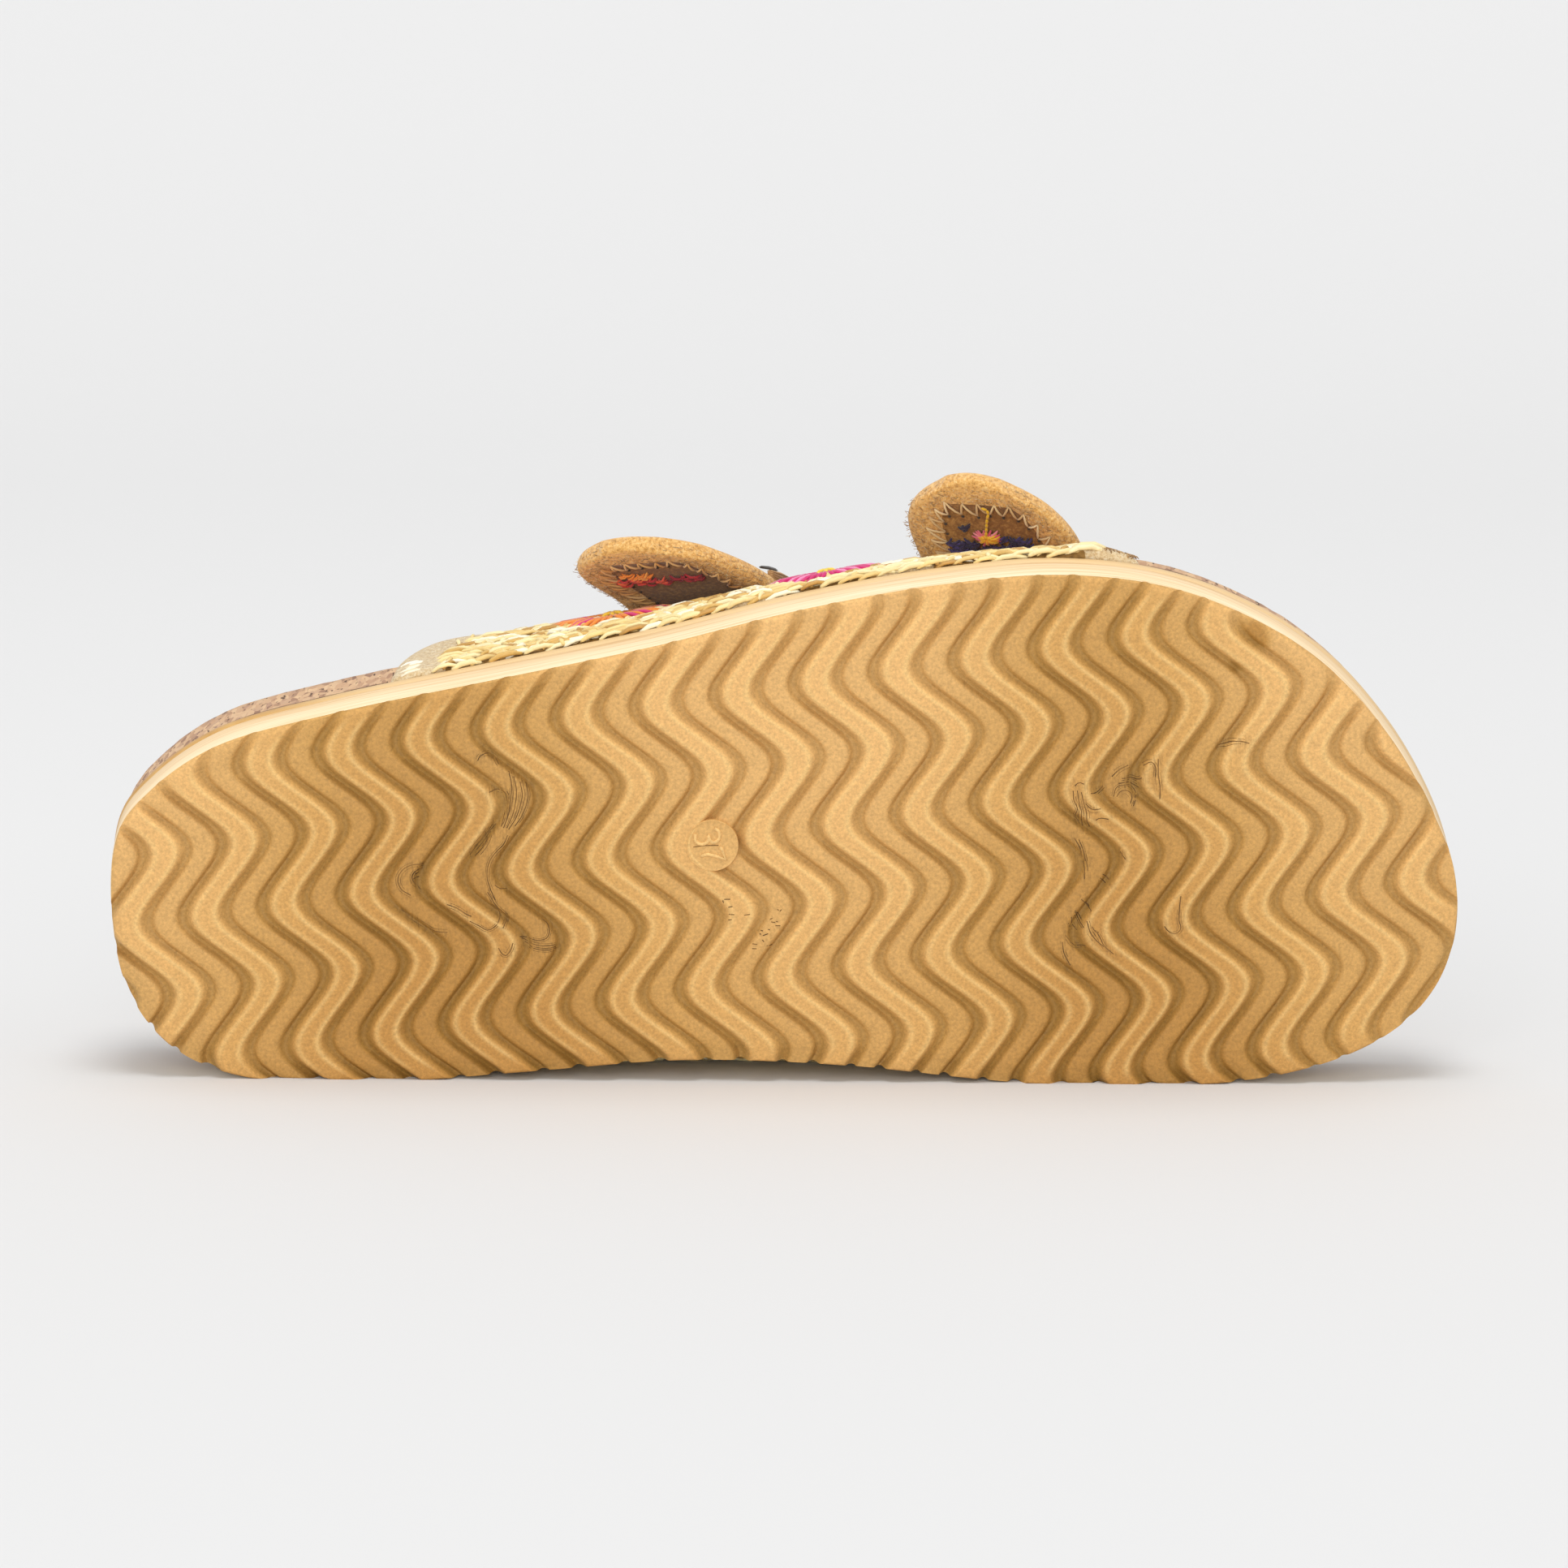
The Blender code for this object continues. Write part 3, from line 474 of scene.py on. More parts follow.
def evaSide():
    # EVA foam, sawn at its side: cream with faint level saw lines
    material, tree, shader = newMaterial("sawn EVA foam side")
    spot = shoeCoordinates(tree)
    # saw lines of 0.25 mm, drawn 0.6 mm high so that they show
    stretch = addNode(tree, "ShaderNodeMapping", {"Scale": (1 / (28 * mm), 1 / (28 * mm), 1 / (0.6 * mm))},
                      {"Vector": spot})
    saw = addNode(tree, "ShaderNodeTexNoise", {"Scale": 1.0, "Detail": 3.0},
                  {"Vector": stretch.outputs["Vector"]})
    shade = addNode(tree, "ShaderNodeValToRGB", {}, {"Fac": saw.outputs["Fac"]},
                    ((0.25, "#E0BA86"), (0.5, "#F4DAB0"), (0.75, "#FAE6C6")))
    # tan towards the top, and a rough lower edge where the tread's skin ends
    rise = addNode(tree, "ShaderNodeAttribute", {"attribute_name": "rise"}).outputs["Fac"]
    tan = addNode(tree, "ShaderNodeValToRGB", {}, {"Fac": rise}, ((0.3, "#FFFFFF"), (1.0, "#E6D6BC")))
    toned = addNode(tree, "ShaderNodeMix", {"data_type": "RGBA", "blend_type": "MULTIPLY", "Factor": 1.0},
                    {6: shade.outputs["Color"], 7: tan.outputs["Color"]})
    bite = addNode(tree, "ShaderNodeTexNoise", {"Scale": 1 / (1.4 * mm), "Detail": 4.0, "Roughness": 0.7},
                   {"Vector": spot})
    rough = addNode(tree, "ShaderNodeMath", {"operation": "MULTIPLY_ADD", 1: 0.16},
                    {0: bite.outputs["Fac"], 2: rise})
    torn = addNode(tree, "ShaderNodeValToRGB", {}, {"Fac": rough.outputs[0]}, ((0.1, 1.0), (0.14, 0.0)))
    edged = addNode(tree, "ShaderNodeMix", {"data_type": "RGBA", 7: linear("#D3A560")},
                    {"Factor": torn.outputs["Color"], 6: toned.outputs[2]})
    tree.links.new(edged.outputs[2], shader.inputs["Base Color"])
    shader.inputs["Roughness"].default_value = 0.7
    bumpInto(tree, shader, saw.outputs["Fac"], 0.25, 0.25)
    return material


def evaLip():
    # skin of the moulded foam left along the top of the side: golden and a little smoother
    material, tree, shader = newMaterial("moulded EVA foam lip")
    spot = shoeCoordinates(tree)
    blotch = addNode(tree, "ShaderNodeTexNoise", {"Scale": 1 / (6 * mm), "Detail": 3.0}, {"Vector": spot})
    shade = addNode(tree, "ShaderNodeValToRGB", {}, {"Fac": blotch.outputs["Fac"]},
                    ((0.3, "#BD8C46"), (0.7, "#D3A660")))
    golden = addNode(tree, "ShaderNodeAttribute", {"attribute_name": "golden"}).outputs["Fac"]
    rubbed = addNode(tree, "ShaderNodeMix", {"data_type": "RGBA", 6: linear("#E0BE8A")},
                     {"Factor": golden, 7: shade.outputs["Color"]})
    tree.links.new(rubbed.outputs[2], shader.inputs["Base Color"])
    shader.inputs["Roughness"].default_value = 0.55
    bumpInto(tree, shader, blotch.outputs["Fac"], 0.2, 0.2)
    return material


def buildSole():
    materials = [evaTread(), evaSide(), evaLip()]
    sole = keepPiece("foamSole", foamBody(), materials, ["outsole"])
    grooves = bpy.data.objects.new("grooves", treadCutter())
    for material in materials:
        grooves.data.materials.append(material)
    bpy.context.scene.collection.objects.link(grooves)
    carve = sole.modifiers.new("carve", "BOOLEAN")
    carve.operation = "DIFFERENCE"
    carve.solver = "MANIFOLD"
    carve.object = grooves
    applyModifiers(sole)
    bpy.data.objects.remove(grooves)
    mesh = sole.data
    mesh.set_sharp_from_angle(angle=math.radians(50))
    x, y, z = stand(vertexSpots(mesh)).T
    above = z - treadHeight(x)
    # painted shade: browner the deeper a point lies in a groove
    start, run = skin["grooveShade"]
    groove = np.clip((above - start) / run, 0.0, 1.0)
    # tone: painted light paler to the lateral side, browner under heel and ball from wear, and real stains
    middle, loss, half = skin["tone"]
    tone = middle - loss * y / half
    for cx, reach, share in skin["wear"]:
        tone -= share * np.exp(-((x - cx) / reach) ** 2)
    for cx, cy, reach in skin["stains"]:
        tone -= skin["stainShare"] * np.exp(-((x - cx) ** 2 + (y - cy) ** 2) / reach ** 2)
    folds = np.vstack([smoothPath(line, 1.0) for key in ("heel", "ball") for line in creases[key]])
    beside, top = skin["creaseReach"]
    crease = np.exp(-(nearest(x, y, folds) / beside) ** 2) * (above < top)
    # painted highlights: pale bands along the toe and heel edges of the ribs, on the rib tops and away from
    # the sole's edge
    place = wavePlace(x, y)
    toe, heel = np.minimum(place, tread["pair"] - place), np.abs(place - tread["heelEdge"])
    toeShare, heelShare, reach = skin["ribHighlights"]
    pale = np.maximum(toeShare * np.exp(-(toe / reach) ** 2), heelShare * np.exp(-(heel / reach) ** 2))
    shown = ease(*skin["ribHighlightFrom"], edgeDistance(x, y)) * (above < skin["ribHighlightDepth"])
    paintPoints(mesh, {
        "groove": groove, "tone": tone, "crease": crease, "edge": shown * pale,
        "rise": above / (foamTop(x) - treadHeight(x)), "golden": 1 - ease(*skin["lipFade"], x)})
    floorClamp(mesh)
    print("foam sole", len(mesh.polygons), "faces")
    return sole


# size disc moulded into the tread
disc = {
    "place": (112.9, -4.1),
    "radius": 4.9,
    "rim": 0.5,
    "proud": 0.15,
    "sunk": 0.25,
    "depth": 2.7,
    "bevel": (0.4, 0.14),      # angle past which an edge is rounded, width
    "three": (
        (-2.9, 2.5), (-2.9, 1.0), (-1.8, 0.4), (-0.6, 1.0), (-0.45, 1.9),
        (-0.3, 1.0), (0.4, 0.5), (1.4, 1.2), (1.45, 2.6), (0.8, 3.2)),
    "seven": ((1.4, -0.4), (1.8, -1.0), (2.3, -2.9), (0.6, -2.1), (-1.0, -1.6), (-2.3, -1.8)),
    "stroke": 0.36,
    "crack": ((-3.5, 0.0), (-1.2, 0.1), (1.2, -0.1)),
    "crackRise": 0.02,
}


def wireMesh(name, paths, radius, closed=False, sides=3):
    curve = bpy.data.curves.new(name, "CURVE")
    curve.dimensions = "3D"
    curve.bevel_depth = radius * mm
    curve.bevel_resolution = sides
    curve.use_fill_caps = not closed
    for path in paths:
        line = curve.splines.new("POLY")
        line.points.add(len(path) - 1)
        for knot, spot in zip(line.points, lay(path)):
            knot.co = (*spot, 1.0)
        line.use_cyclic_u = closed
    carrier = bpy.data.objects.new(name, curve)
    bpy.context.scene.collection.objects.link(carrier)
    graph = bpy.context.evaluated_depsgraph_get()
    mesh = bpy.data.meshes.new_from_object(carrier.evaluated_get(graph))
    bpy.data.objects.remove(carrier)
    bm = bmesh.new()
    bm.from_mesh(mesh)
    bmesh.ops.remove_doubles(bm, verts=bm.verts, dist=1e-7)
    bpy.data.meshes.remove(mesh)
    return meshFrom(bm, name)


def runAlong(path):
    return np.concatenate([[0.0], np.cumsum(np.linalg.norm(np.diff(path, axis=0), axis=1))])


def smoothPath(points, step):
    points = np.array(points, float)
    run = runAlong(points)
    at = np.linspace(0.0, run[-1], max(3, int(run[-1] / step) + 1))
    return np.column_stack([smoothTable(run, points[:, k], at) for k in range(points.shape[1])])


def buildDisc(foamSkin):
    cx, cy = disc["place"]
    bm = bmesh.new()
    bmesh.ops.create_circle(bm, cap_ends=True, radius=disc["radius"], segments=64)
    bmesh.ops.translate(bm, verts=bm.verts, vec=(cx, cy, disc["depth"]))
    top = bmesh.ops.extrude_face_region(bm, geom=bm.faces[:])["geom"]
    verts = [v for v in top if isinstance(v, bmesh.types.BMVert)]
    bmesh.ops.translate(bm, verts=verts, vec=(0, 0, -disc["depth"] - disc["proud"]))
    face = [f for f in top if isinstance(f, bmesh.types.BMFace)]
    bmesh.ops.inset_region(bm, faces=face, thickness=disc["rim"], depth=0.0)
    inner = [v for f in face for v in f.verts]
    bmesh.ops.translate(bm, verts=inner, vec=(0, 0, disc["sunk"]))
    corner, width = disc["bevel"]
    rims = [e for e in bm.edges if e.calc_face_angle(0.0) > corner]
    bmesh.ops.bevel(bm, geom=rims, offset=width, segments=2, profile=0.5, affect="EDGES", material=-1)
    for vert, spot in zip(bm.verts, lay([v.co for v in bm.verts])):
        vert.co = spot
    mesh = meshFrom(bm, "sizeDisc")
    # a little painted shade and painted highlight through the groove and edge shares
    paintPoints(mesh, {"groove": 0.12, "tone": 0.75, "crease": 0.0, "edge": 0.1})
    keepPiece("sizeDisc", mesh, [foamSkin])
    level = disc["sunk"] - disc["proud"]
    strokes = []
    for key in ("three", "seven"):
        flat = smoothPath(disc[key], 0.25) if key == "three" else np.array(disc[key])
        strokes.append(np.column_stack([cx + flat[:, 0], cy - flat[:, 1], np.full(len(flat), level)]))
    digits = wireMesh("sizeDigits", strokes, disc["stroke"])
    # painted highlight on the raised digits through the edge share
    paintPoints(digits, {"groove": 0.0, "tone": 1.0, "crease": 0.0, "edge": 0.4})
    keepPiece("sizeDigits", digits, [foamSkin])
    crack = [(cx + a, cy - b, level - disc["crackRise"]) for a, b in disc["crack"]]
    print("size disc and digits")
    return crack


# hairline creases that wear has folded into the foam: x, y on the tread
creases = {
    "radius": 0.095,
    "fine": 0.05,
    "sunk": 0.03,
    "beside": ((0.3, 0.55), (0.3, 0.7)),       # distance of the fine folds to either side
    "shortest": 6,             # points that a crease needs to have fine folds
    "heel": (
        ((71.1, -24.0), (71.7, -24.9), (72.8, -25.1), (73.9, -24.5), (74.9, -22.9)),
        ((72.6, -17.9), (74.4, -18.0), (75.4, -17.5), (75.7, -15.9), (75.2, -13.8), (74.2, -11.1)),
        ((76.6, -21.4), (76.9, -19.2), (76.5, -16.4), (75.8, -13.4), (74.6, -10.8)),
        ((77.4, -20.4), (77.7, -17.9), (77.3, -15.4), (76.5, -13.1), (75.2, -10.7)),
        ((78.5, -19.3), (78.7, -16.9), (78.0, -14.5), (77.2, -12.7), (75.5, -10.4)),
        ((79.5, -18.9), (79.8, -16.8), (79.2, -14.7), (78.1, -12.6), (76.7, -10.9)),
        ((73.2, -11.5), (71.8, -10.1), (70.8, -8.6), (69.1, -6.9)),
        ((72.6, -11.6), (71.2, -9.8), (69.5, -8.1), (67.8, -6.1)),
        ((72.1, -10.1), (70.7, -7.7), (68.7, -5.7)),
        ((75.2, -9.3), (74.3, -7.7), (72.7, -6.3), (71.5, -4.9), (70.8, -3.1), (70.6, -1.5), (70.9, 0.3),
         (71.7, 2.9)),
        ((71.9, 0.0), (72.7, 0.8), (73.9, 1.2)),
        ((70.4, 1.2), (70.9, 2.2), (71.6, 3.8), (72.7, 5.2), (73.5, 6.5), (73.1, 7.4), (72.6, 8.2)),
        ((66.6, 6.3), (68.3, 7.4), (69.7, 8.3), (70.9, 7.9), (71.9, 6.9), (72.2, 5.7), (71.9, 4.5)),
        ((62.7, 2.7), (64.5, 3.6), (66.1, 4.9), (67.0, 5.4)),
        ((75.5, 10.4), (77.0, 10.8), (79.3, 11.3), (80.5, 11.0), (81.1, 9.8), (80.9, 8.5), (80.0, 7.5)),
        ((76.3, 11.5), (78.0, 12.8), (80.3, 13.3), (82.1, 13.3)),
        ((75.8, 10.7), (77.5, 11.8), (79.5, 12.4), (81.9, 12.5)),
        ((58.8, -4.2), (57.4, -4.0), (56.7, -3.1), (56.8, -1.9), (57.9, -0.2)),
        ((56.8, -2.5), (57.3, -2.6), (57.9, -2.6)),
        ((56.8, -3.4), (57.4, -3.4), (58.0, -3.5)),
        ((59.0, -5.2), (57.0, -5.3), (55.1, -4.5), (54.0, -2.8), (54.4, -0.9), (56.1, 0.5)),
        ((54.0, 3.4), (55.9, 4.9), (57.6, 6.3), (59.5, 7.7), (62.2, 8.2)),
        ((71.4, 11.9), (71.9, 13.0), (72.5, 13.5), (73.5, 12.7), (74.2, 11.2))),
    "ball": (
        ((191.2, -12.2), (189.3, -11.4), (188.0, -10.3)),
        ((194.0, -11.8), (195.6, -12.5), (196.1, -11.8), (196.0, -9.6)),
        ((196.8, -13.0), (196.6, -10.2), (196.7, -7.3), (196.5, -5.4)),
        ((189.8, -9.8), (191.6, -9.5), (192.8, -9.2), (193.5, -9.6)),
        ((189.1, -8.9), (190.7, -8.9), (192.1, -8.0), (192.8, -7.6)),
        ((188.6, -6.4), (189.3, -7.3), (190.5, -7.4), (191.4, -6.2), (191.0, -4.9)),
        ((188.0, -6.5), (188.7, -8.2), (190.9, -8.3), (192.2, -6.4), (191.5, -4.3)),
        ((183.8, -7.5), (184.7, -7.3), (185.6, -7.8), (186.2, -8.6)),
        ((181.0, -9.3), (181.8, -9.9), (182.7, -9.5)),
        ((180.6, -8.4), (180.6, -6.5), (181.1, -4.9), (180.6, -3.3), (181.1, -2.0)),
        ((181.4, -8.4), (181.5, -6.1), (181.8, -4.2), (181.7, -2.6), (181.8, -1.0)),
        ((182.1, -8.0), (182.4, -5.7), (182.7, -4.1), (182.7, -2.5), (183.1, -0.9)),
        ((180.1, 0.8), (180.8, 2.4), (181.2, 4.4), (181.5, 6.9), (181.3, 8.8)),
        ((180.9, 1.1), (181.5, 3.1), (181.8, 5.4)),
        ((178.3, 15.9), (178.3, 17.5), (179.1, 18.7)),
        ((179.1, 15.0), (179.6, 16.7), (180.4, 18.0)),
        ((176.9, 19.3), (177.7, 20.7), (178.3, 21.5), (180.4, 21.7)),
        ((176.2, 20.5), (176.3, 22.5), (177.3, 25.1)),
        ((181.1, 16.8), (181.6, 19.1), (182.7, 20.8), (183.8, 21.9)),
        ((182.0, 17.9), (182.5, 18.9), (183.1, 19.1)),
        ((182.5, 18.6), (183.3, 20.2), (183.7, 21.4), (185.5, 23.5)),
        ((198.9, 13.6), (198.4, 16.2), (198.2, 18.4), (198.4, 19.7), (197.6, 20.6), (196.3, 20.3),
         (195.4, 19.1)),
        ((184.3, -2.4), (184.9, -2.7), (186.7, -2.4)),
        ((182.7, -5.7), (183.8, -4.6), (185.4, -4.5)),
        ((188.4, 4.2), (188.8, 4.9), (189.2, 5.6)),
        ((184.8, 8.2), (185.3, 8.9), (185.9, 9.6)),
        ((180.4, 12.6), (181.1, 13.5), (181.8, 14.3)),
        ((179.1, 14.7), (179.6, 15.6), (180.1, 16.6)),
        ((184.3, 8.9), (184.7, 9.6), (185.2, 10.2)),
        ((180.9, 13.4), (181.5, 14.2), (182.1, 15.0)),
        ((208.0, -14.1), (209.4, -14.3), (210.7, -14.8), (212.3, -14.8), (213.9, -14.2))),
    "scuffs": (
        ((114.2, 6.4), (115.3, 6.5)), ((113.9, 6.6), (114.0, 7.1)), ((114.8, 8.0), (115.6, 7.9)),
        ((114.8, 9.4), (115.8, 9.5)), ((117.6, 9.8), (118.7, 9.7)), ((114.6, 10.5), (115.2, 10.4)),
        ((123.8, 9.4), (124.1, 9.6)), ((124.3, 9.8), (124.6, 9.5)), ((122.3, 11.2), (122.8, 11.0)),
        ((122.5, 11.7), (123.2, 11.9)), ((123.4, 11.7), (123.7, 11.8)), ((123.2, 12.5), (124.1, 12.6)),
        ((120.4, 13.2), (120.8, 13.3)), ((120.1, 13.8), (120.4, 13.9)), ((120.7, 14.2), (121.7, 13.9)),
        ((121.8, 13.1), (122.1, 13.2)), ((118.6, 15.6), (119.5, 15.8)), ((121.2, 16.2), (122.2, 16.3)),
        ((118.5, 16.5), (119.3, 16.6)), ((120.5, 15.0), (120.8, 15.4))),
}


def creaseDark():
    # folded EVA skin: dull brown line along each fold
    material, tree, shader = newMaterial("dark lines in folded EVA foam")
    spot = addNode(tree, "ShaderNodeTexCoord")
    patch = addNode(tree, "ShaderNodeTexNoise", {"Scale": 1 / (2.5 * mm), "Detail": 2.0},
                    {"Vector": spot.outputs["Object"]})
    shade = addNode(tree, "ShaderNodeValToRGB", {}, {"Fac": patch.outputs["Fac"]},
                    ((0.35, "#4C3312"), (0.65, "#8A6430")))
    tree.links.new(shade.outputs["Color"], shader.inputs["Base Color"])
    shader.inputs["Roughness"].default_value = 0.85
    return material


def buildCreases(crack):
    def onTread(flat):
        x, y = flat.T
        return np.column_stack([x, y, treadHeight(x) + ribDepth(x, y) + creases["sunk"]])

    paths, fine = [np.array(crack)], []
    left, right = creases["beside"]
    for key in ("heel", "ball", "scuffs"):
        for line in creases[key]:
            flat = smoothPath(line, 0.5)
            paths.append(onTread(flat))
            if key == "scuffs" or len(flat) < creases["shortest"]:
                continue
            # finer folds run beside each crease for part of its length
            side = np.gradient(flat, axis=0)[:, ::-1] * (1, -1)
            side /= np.linalg.norm(side, axis=1)[:, None]
            for step in (random.uniform(*left), -random.uniform(*right)):
                first = random.randint(0, len(flat) // 3)
                last = len(flat) - random.randint(0, len(flat) // 3)
                fine.append(onTread((flat + side * step)[first:last]))
    foldLines = creaseDark()
    keepPiece("foamCreases", wireMesh("foamCreases", paths, creases["radius"], sides=1), [foldLines])
    keepPiece("foamFolds", wireMesh("foamFolds", fine, creases["fine"], sides=1), [foldLines])
    print("foam creases", len(paths), "folds", len(fine))


# the last that the upper is drawn on
upper = {
    "wall": 2.4,
    "binding": 3.6,
    "proud": 0.8,
    "seat": 0.3,                   # height of the lower edge over the foam
    "flare": (2.0, 80.0, 24.0, 0.16),      # rise, end, run, girth where it is full
    "floorGirth": 0.6,
    "pressed": 0.25,
    "bulgePower": 0.75,
    "lift": (4.0, 0.32, 0.46),     # rise over the buckle bar, girth where it is full and where it starts
    "girthMm": 185.0,
    "sectionPoints": 90,           # from the foam to the ridge, on either side
    "sections": (                  # along, ridge height, ridge y, lateral and medial fullness, medial bulge
        (50.0, 84.0, 3.0, 2.8, 2.7, 5.0), (80.0, 80.0, 5.0, 2.5, 2.7, 6.5),
        (110.0, 73.0, 7.0, 2.2, 2.6, 7.0), (140.0, 65.0, 9.0, 2.05, 2.5, 5.5),
        (170.0, 57.0, 11.0, 1.97, 2.4, 4.0), (205.0, 47.0, 13.0, 1.9, 2.3, 3.0)),
    "straps": (                    # girth, rear back, rear front, front back, front front
        (0.25, 101.0, 132.0, 159.0, 190.5), (0.46, 101.0, 132.0, 160.0, 191.0),
        (0.58, 99.0, 130.0, 158.0, 191.0), (0.68, 94.0, 128.0, 156.0, 191.5),
        (0.76, 83.0, 127.0, 154.0, 192.5), (0.84, 68.0, 127.0, 151.0, 194.5),
        (0.92, 59.0, 127.5, 148.0, 197.0), (1.00, 56.0, 128.0, 146.0, 203.0)),
    "quarter": (
        (0.000, 55.0, 128.0, 148.0, 197.0), (0.080, 58.0, 129.0, 150.0, 193.0),
        (0.160, 69.0, 131.0, 155.0, 191.0), (0.235, 100.0, 132.0, 159.0, 190.5)),
    "strapNotch": 0.80,
    "quarterNotch": 0.13,
    "notchDip": 0.015,
    "frontBump": (1.3, 188.0, 6.0),        # rise, along, reach of the thick end of the lateral quarter
}


def lastSection(along):
    height, ridge = column(upper["sections"], 1, along), column(upper["sections"], 2, along)
    base = foamTop(along) + upper["seat"]
    inset = upper["proud"] - upper["wall"] / 2
    turn = np.linspace(0.0, math.pi / 2, upper["sectionPoints"])
    powers = [2 / column(upper["sections"], k, along) for k in (3, 4)]
    rises = [np.sin(turn) ** power for power in powers]
    bulge = column(upper["sections"], 5, along) * np.sin(math.pi * rises[1] ** upper["bulgePower"])
    lateral = ridge - (ridge - edgeY(along, "lateral") + inset) * np.cos(turn) ** powers[0]
    medial = ridge + (edgeY(along, "medial") + inset - ridge) * np.cos(turn) ** powers[1] + bulge
    left = np.column_stack([lateral, base + (height - base) * rises[0]])
    right = np.column_stack([medial, base + (height - base) * rises[1]])
    points = np.vstack([left, right[-2::-1]])
    share = np.concatenate([[0.0], np.cumsum(np.hypot(*np.diff(points, axis=0).T))])
    return points, share


lastAlong = np.arange(40.0, 216.0, 1.0)
lastGirth = np.linspace(0.0, 1.0, 181)


def lastSurface():
    spots = np.zeros((len(lastAlong), len(lastGirth), 3))
    for n, along in enumerate(lastAlong):
        points, share = lastSection(along)
        at = lastGirth * share[-1]
        spots[n] = np.column_stack([np.full(len(at), along), np.interp(at, share, points[:, 0]),
                                    np.interp(at, share, points[:, 1])])
    normals = np.cross(np.gradient(spots, axis=0), np.gradient(spots, axis=1))
    normals /= np.linalg.norm(normals, axis=2)[:, :, None]
    rise, end, run, full = upper["flare"]
    flare = rise * ease(end, end - run, lastAlong)[:, None]
    flare = flare * np.minimum(np.minimum(lastGirth, 1 - lastGirth) / full, 1.0)[None, :]
    return spots + normals * flare[:, :, None], normals


lastSpots, lastNormals = lastSurface()


def blendField(field, along, girth):
    a = np.clip(along - lastAlong[0], 0.0, len(lastAlong) - 1.001)
    g = np.clip(girth * (len(lastGirth) - 1), 0.0, len(lastGirth) - 1.001)
    i, j = a.astype(int), g.astype(int)
    s, t = (a - i)[:, None], (g - j)[:, None]
    low = field[i, j] * (1 - s) + field[i + 1, j] * s
    high = field[i, j + 1] * (1 - s) + field[i + 1, j + 1] * s
    return low * (1 - t) + high * t


def matched(*values):
    return [np.array(k, float) for k in np.broadcast_arrays(*np.atleast_1d(*values))]


def onUpper(along, girth, lift=0.0):
    along, girth, lift = matched(along, girth, lift)
    point = blendField(lastSpots, along, girth)
    reach = floorY(point[:, 0], point[:, 2]) - upper["wall"] / 2 + upper["pressed"]
    low = girth > upper["floorGirth"]
    point[low, 1] = np.minimum(point[low, 1], reach[low])
    return point + blendField(lastNormals, along, girth) * lift[:, None]


def outOf(along, girth):
    return blendField(lastNormals, *matched(along, girth))


def strapLift(girth):
    rise, full, start = upper["lift"]
    return rise * (1 - ease(full, start, girth))


def frontBump(along):
    rise, middle, reach = upper["frontBump"]
    return rise * np.exp(-((along - middle) / reach) ** 2)


# strap ends that stand out past the buckles
tails = {
    "length": 32.0,
    "round": 15.0,
    "fullness": 2.4,
    "tip": 0.34,
    "girth": 0.25,
    "rear": (2.0, 0.48, 101.0, 132.0),     # splay in degrees, lean to the heel per mm, back and front edge
    "front": (9.0, 0.30, 159.0, 190.5),
    "rootShift": 1.7,          # the rear strap end stands a little towards the toe at its root
    "rootRun": (7.0, 12.0, 25.0),      # u where that is full, starts to fade and is gone
}


def tailFrame(name):
    middle = (tails[name][2] + tails[name][3]) / 2
    girths = np.array([tails["girth"] - 0.01, tails["girth"] + 0.01])
    ends = blendField(lastSpots, np.array([middle] * 2), girths)
    down = (ends[0] - ends[1]) / np.linalg.norm(ends[0] - ends[1])
    normal = outOf(middle, tails["girth"])[0]
    splay = math.radians(tails[name][0])
    way = down * math.cos(splay) + normal * math.sin(splay) - np.array([tails[name][1], 0.0, 0.0])
    return middle, normal, way


def tailHalf(name, u):
    past = np.maximum(np.asarray(u, float) - (tails["length"] - tails["round"]), 0.0) / tails["round"]
    scale = np.sqrt(np.maximum(1 - past ** tails["fullness"], 0.0))
    return (tails[name][3] - tails[name][2]) / 2 * np.maximum(scale, tails["tip"])


def onTail(name, across, u, rise=0.0):
    across, u, rise = matched(across, u, rise)
    middle, normal, way = tailFrame(name)
    if name == "rear":
        full, fade, gone = tails["rootRun"]
        across += tails["rootShift"] * ease(0.0, full, u) * (1 - ease(fade, gone, u))
    base = onUpper(middle + across, tails["girth"], upper["lift"][0])
    return base + way * u[:, None] + normal * rise[:, None]


# hollow walls of the upper: suede lining, thick suede binding at the free edges
wall = {
    "bindingWidth": 5.0,
    "quarterBinding": 8.6,
    "bindingStep": 1.5,
    "narrow": (0.28, 0.36),    # shares of the width that the binding, and its step, take at most
    "crown": 0.4,              # share of the binding's width where it is thickest
    "cells": 8,
    "webCells": 4,
    "panelShare": 0.62,        # panel thickness against the binding's
    "edgeShare": 0.74,
    "strapRows": 30,
    "quarterRows": 15,
    "tailRows": (3.0, 6.0, 9.5, 13.0, 16.0, 18.6, 20.6, 22.4, 24.0, 25.4, 27.0, 29.2, 31.0, 32.0),
    "tipBow": 1.3,
    "tipRows": 3,              # rows of binding across the tip of a strap end
    "inside": (130.0, 5.0, 35.0),      # a point in the shoe that the faces turn away from
}


def panelColumns(back, front, reach):
    width = front - back
    outer = min(reach, wall["narrow"][0] * width)
    inner = min(reach + wall["bindingStep"], wall["narrow"][1] * width)
    crown = wall["crown"] * outer
    panel = np.linspace(back + inner, front - inner, wall["cells"] + 1)
    return [back, back + crown, back + outer, *panel, front - outer, front - crown, front]


panelCount = wall["cells"] + 6
columnCount = 2 * panelCount + wall["webCells"]


def bindingShare(i):
    i = i if i <= panelCount else i - panelCount - wall["webCells"]
    near = min(i, panelCount - i)
    return (wall["edgeShare"], 1.0, 1.0)[near] if near < 3 else wall["panelShare"]


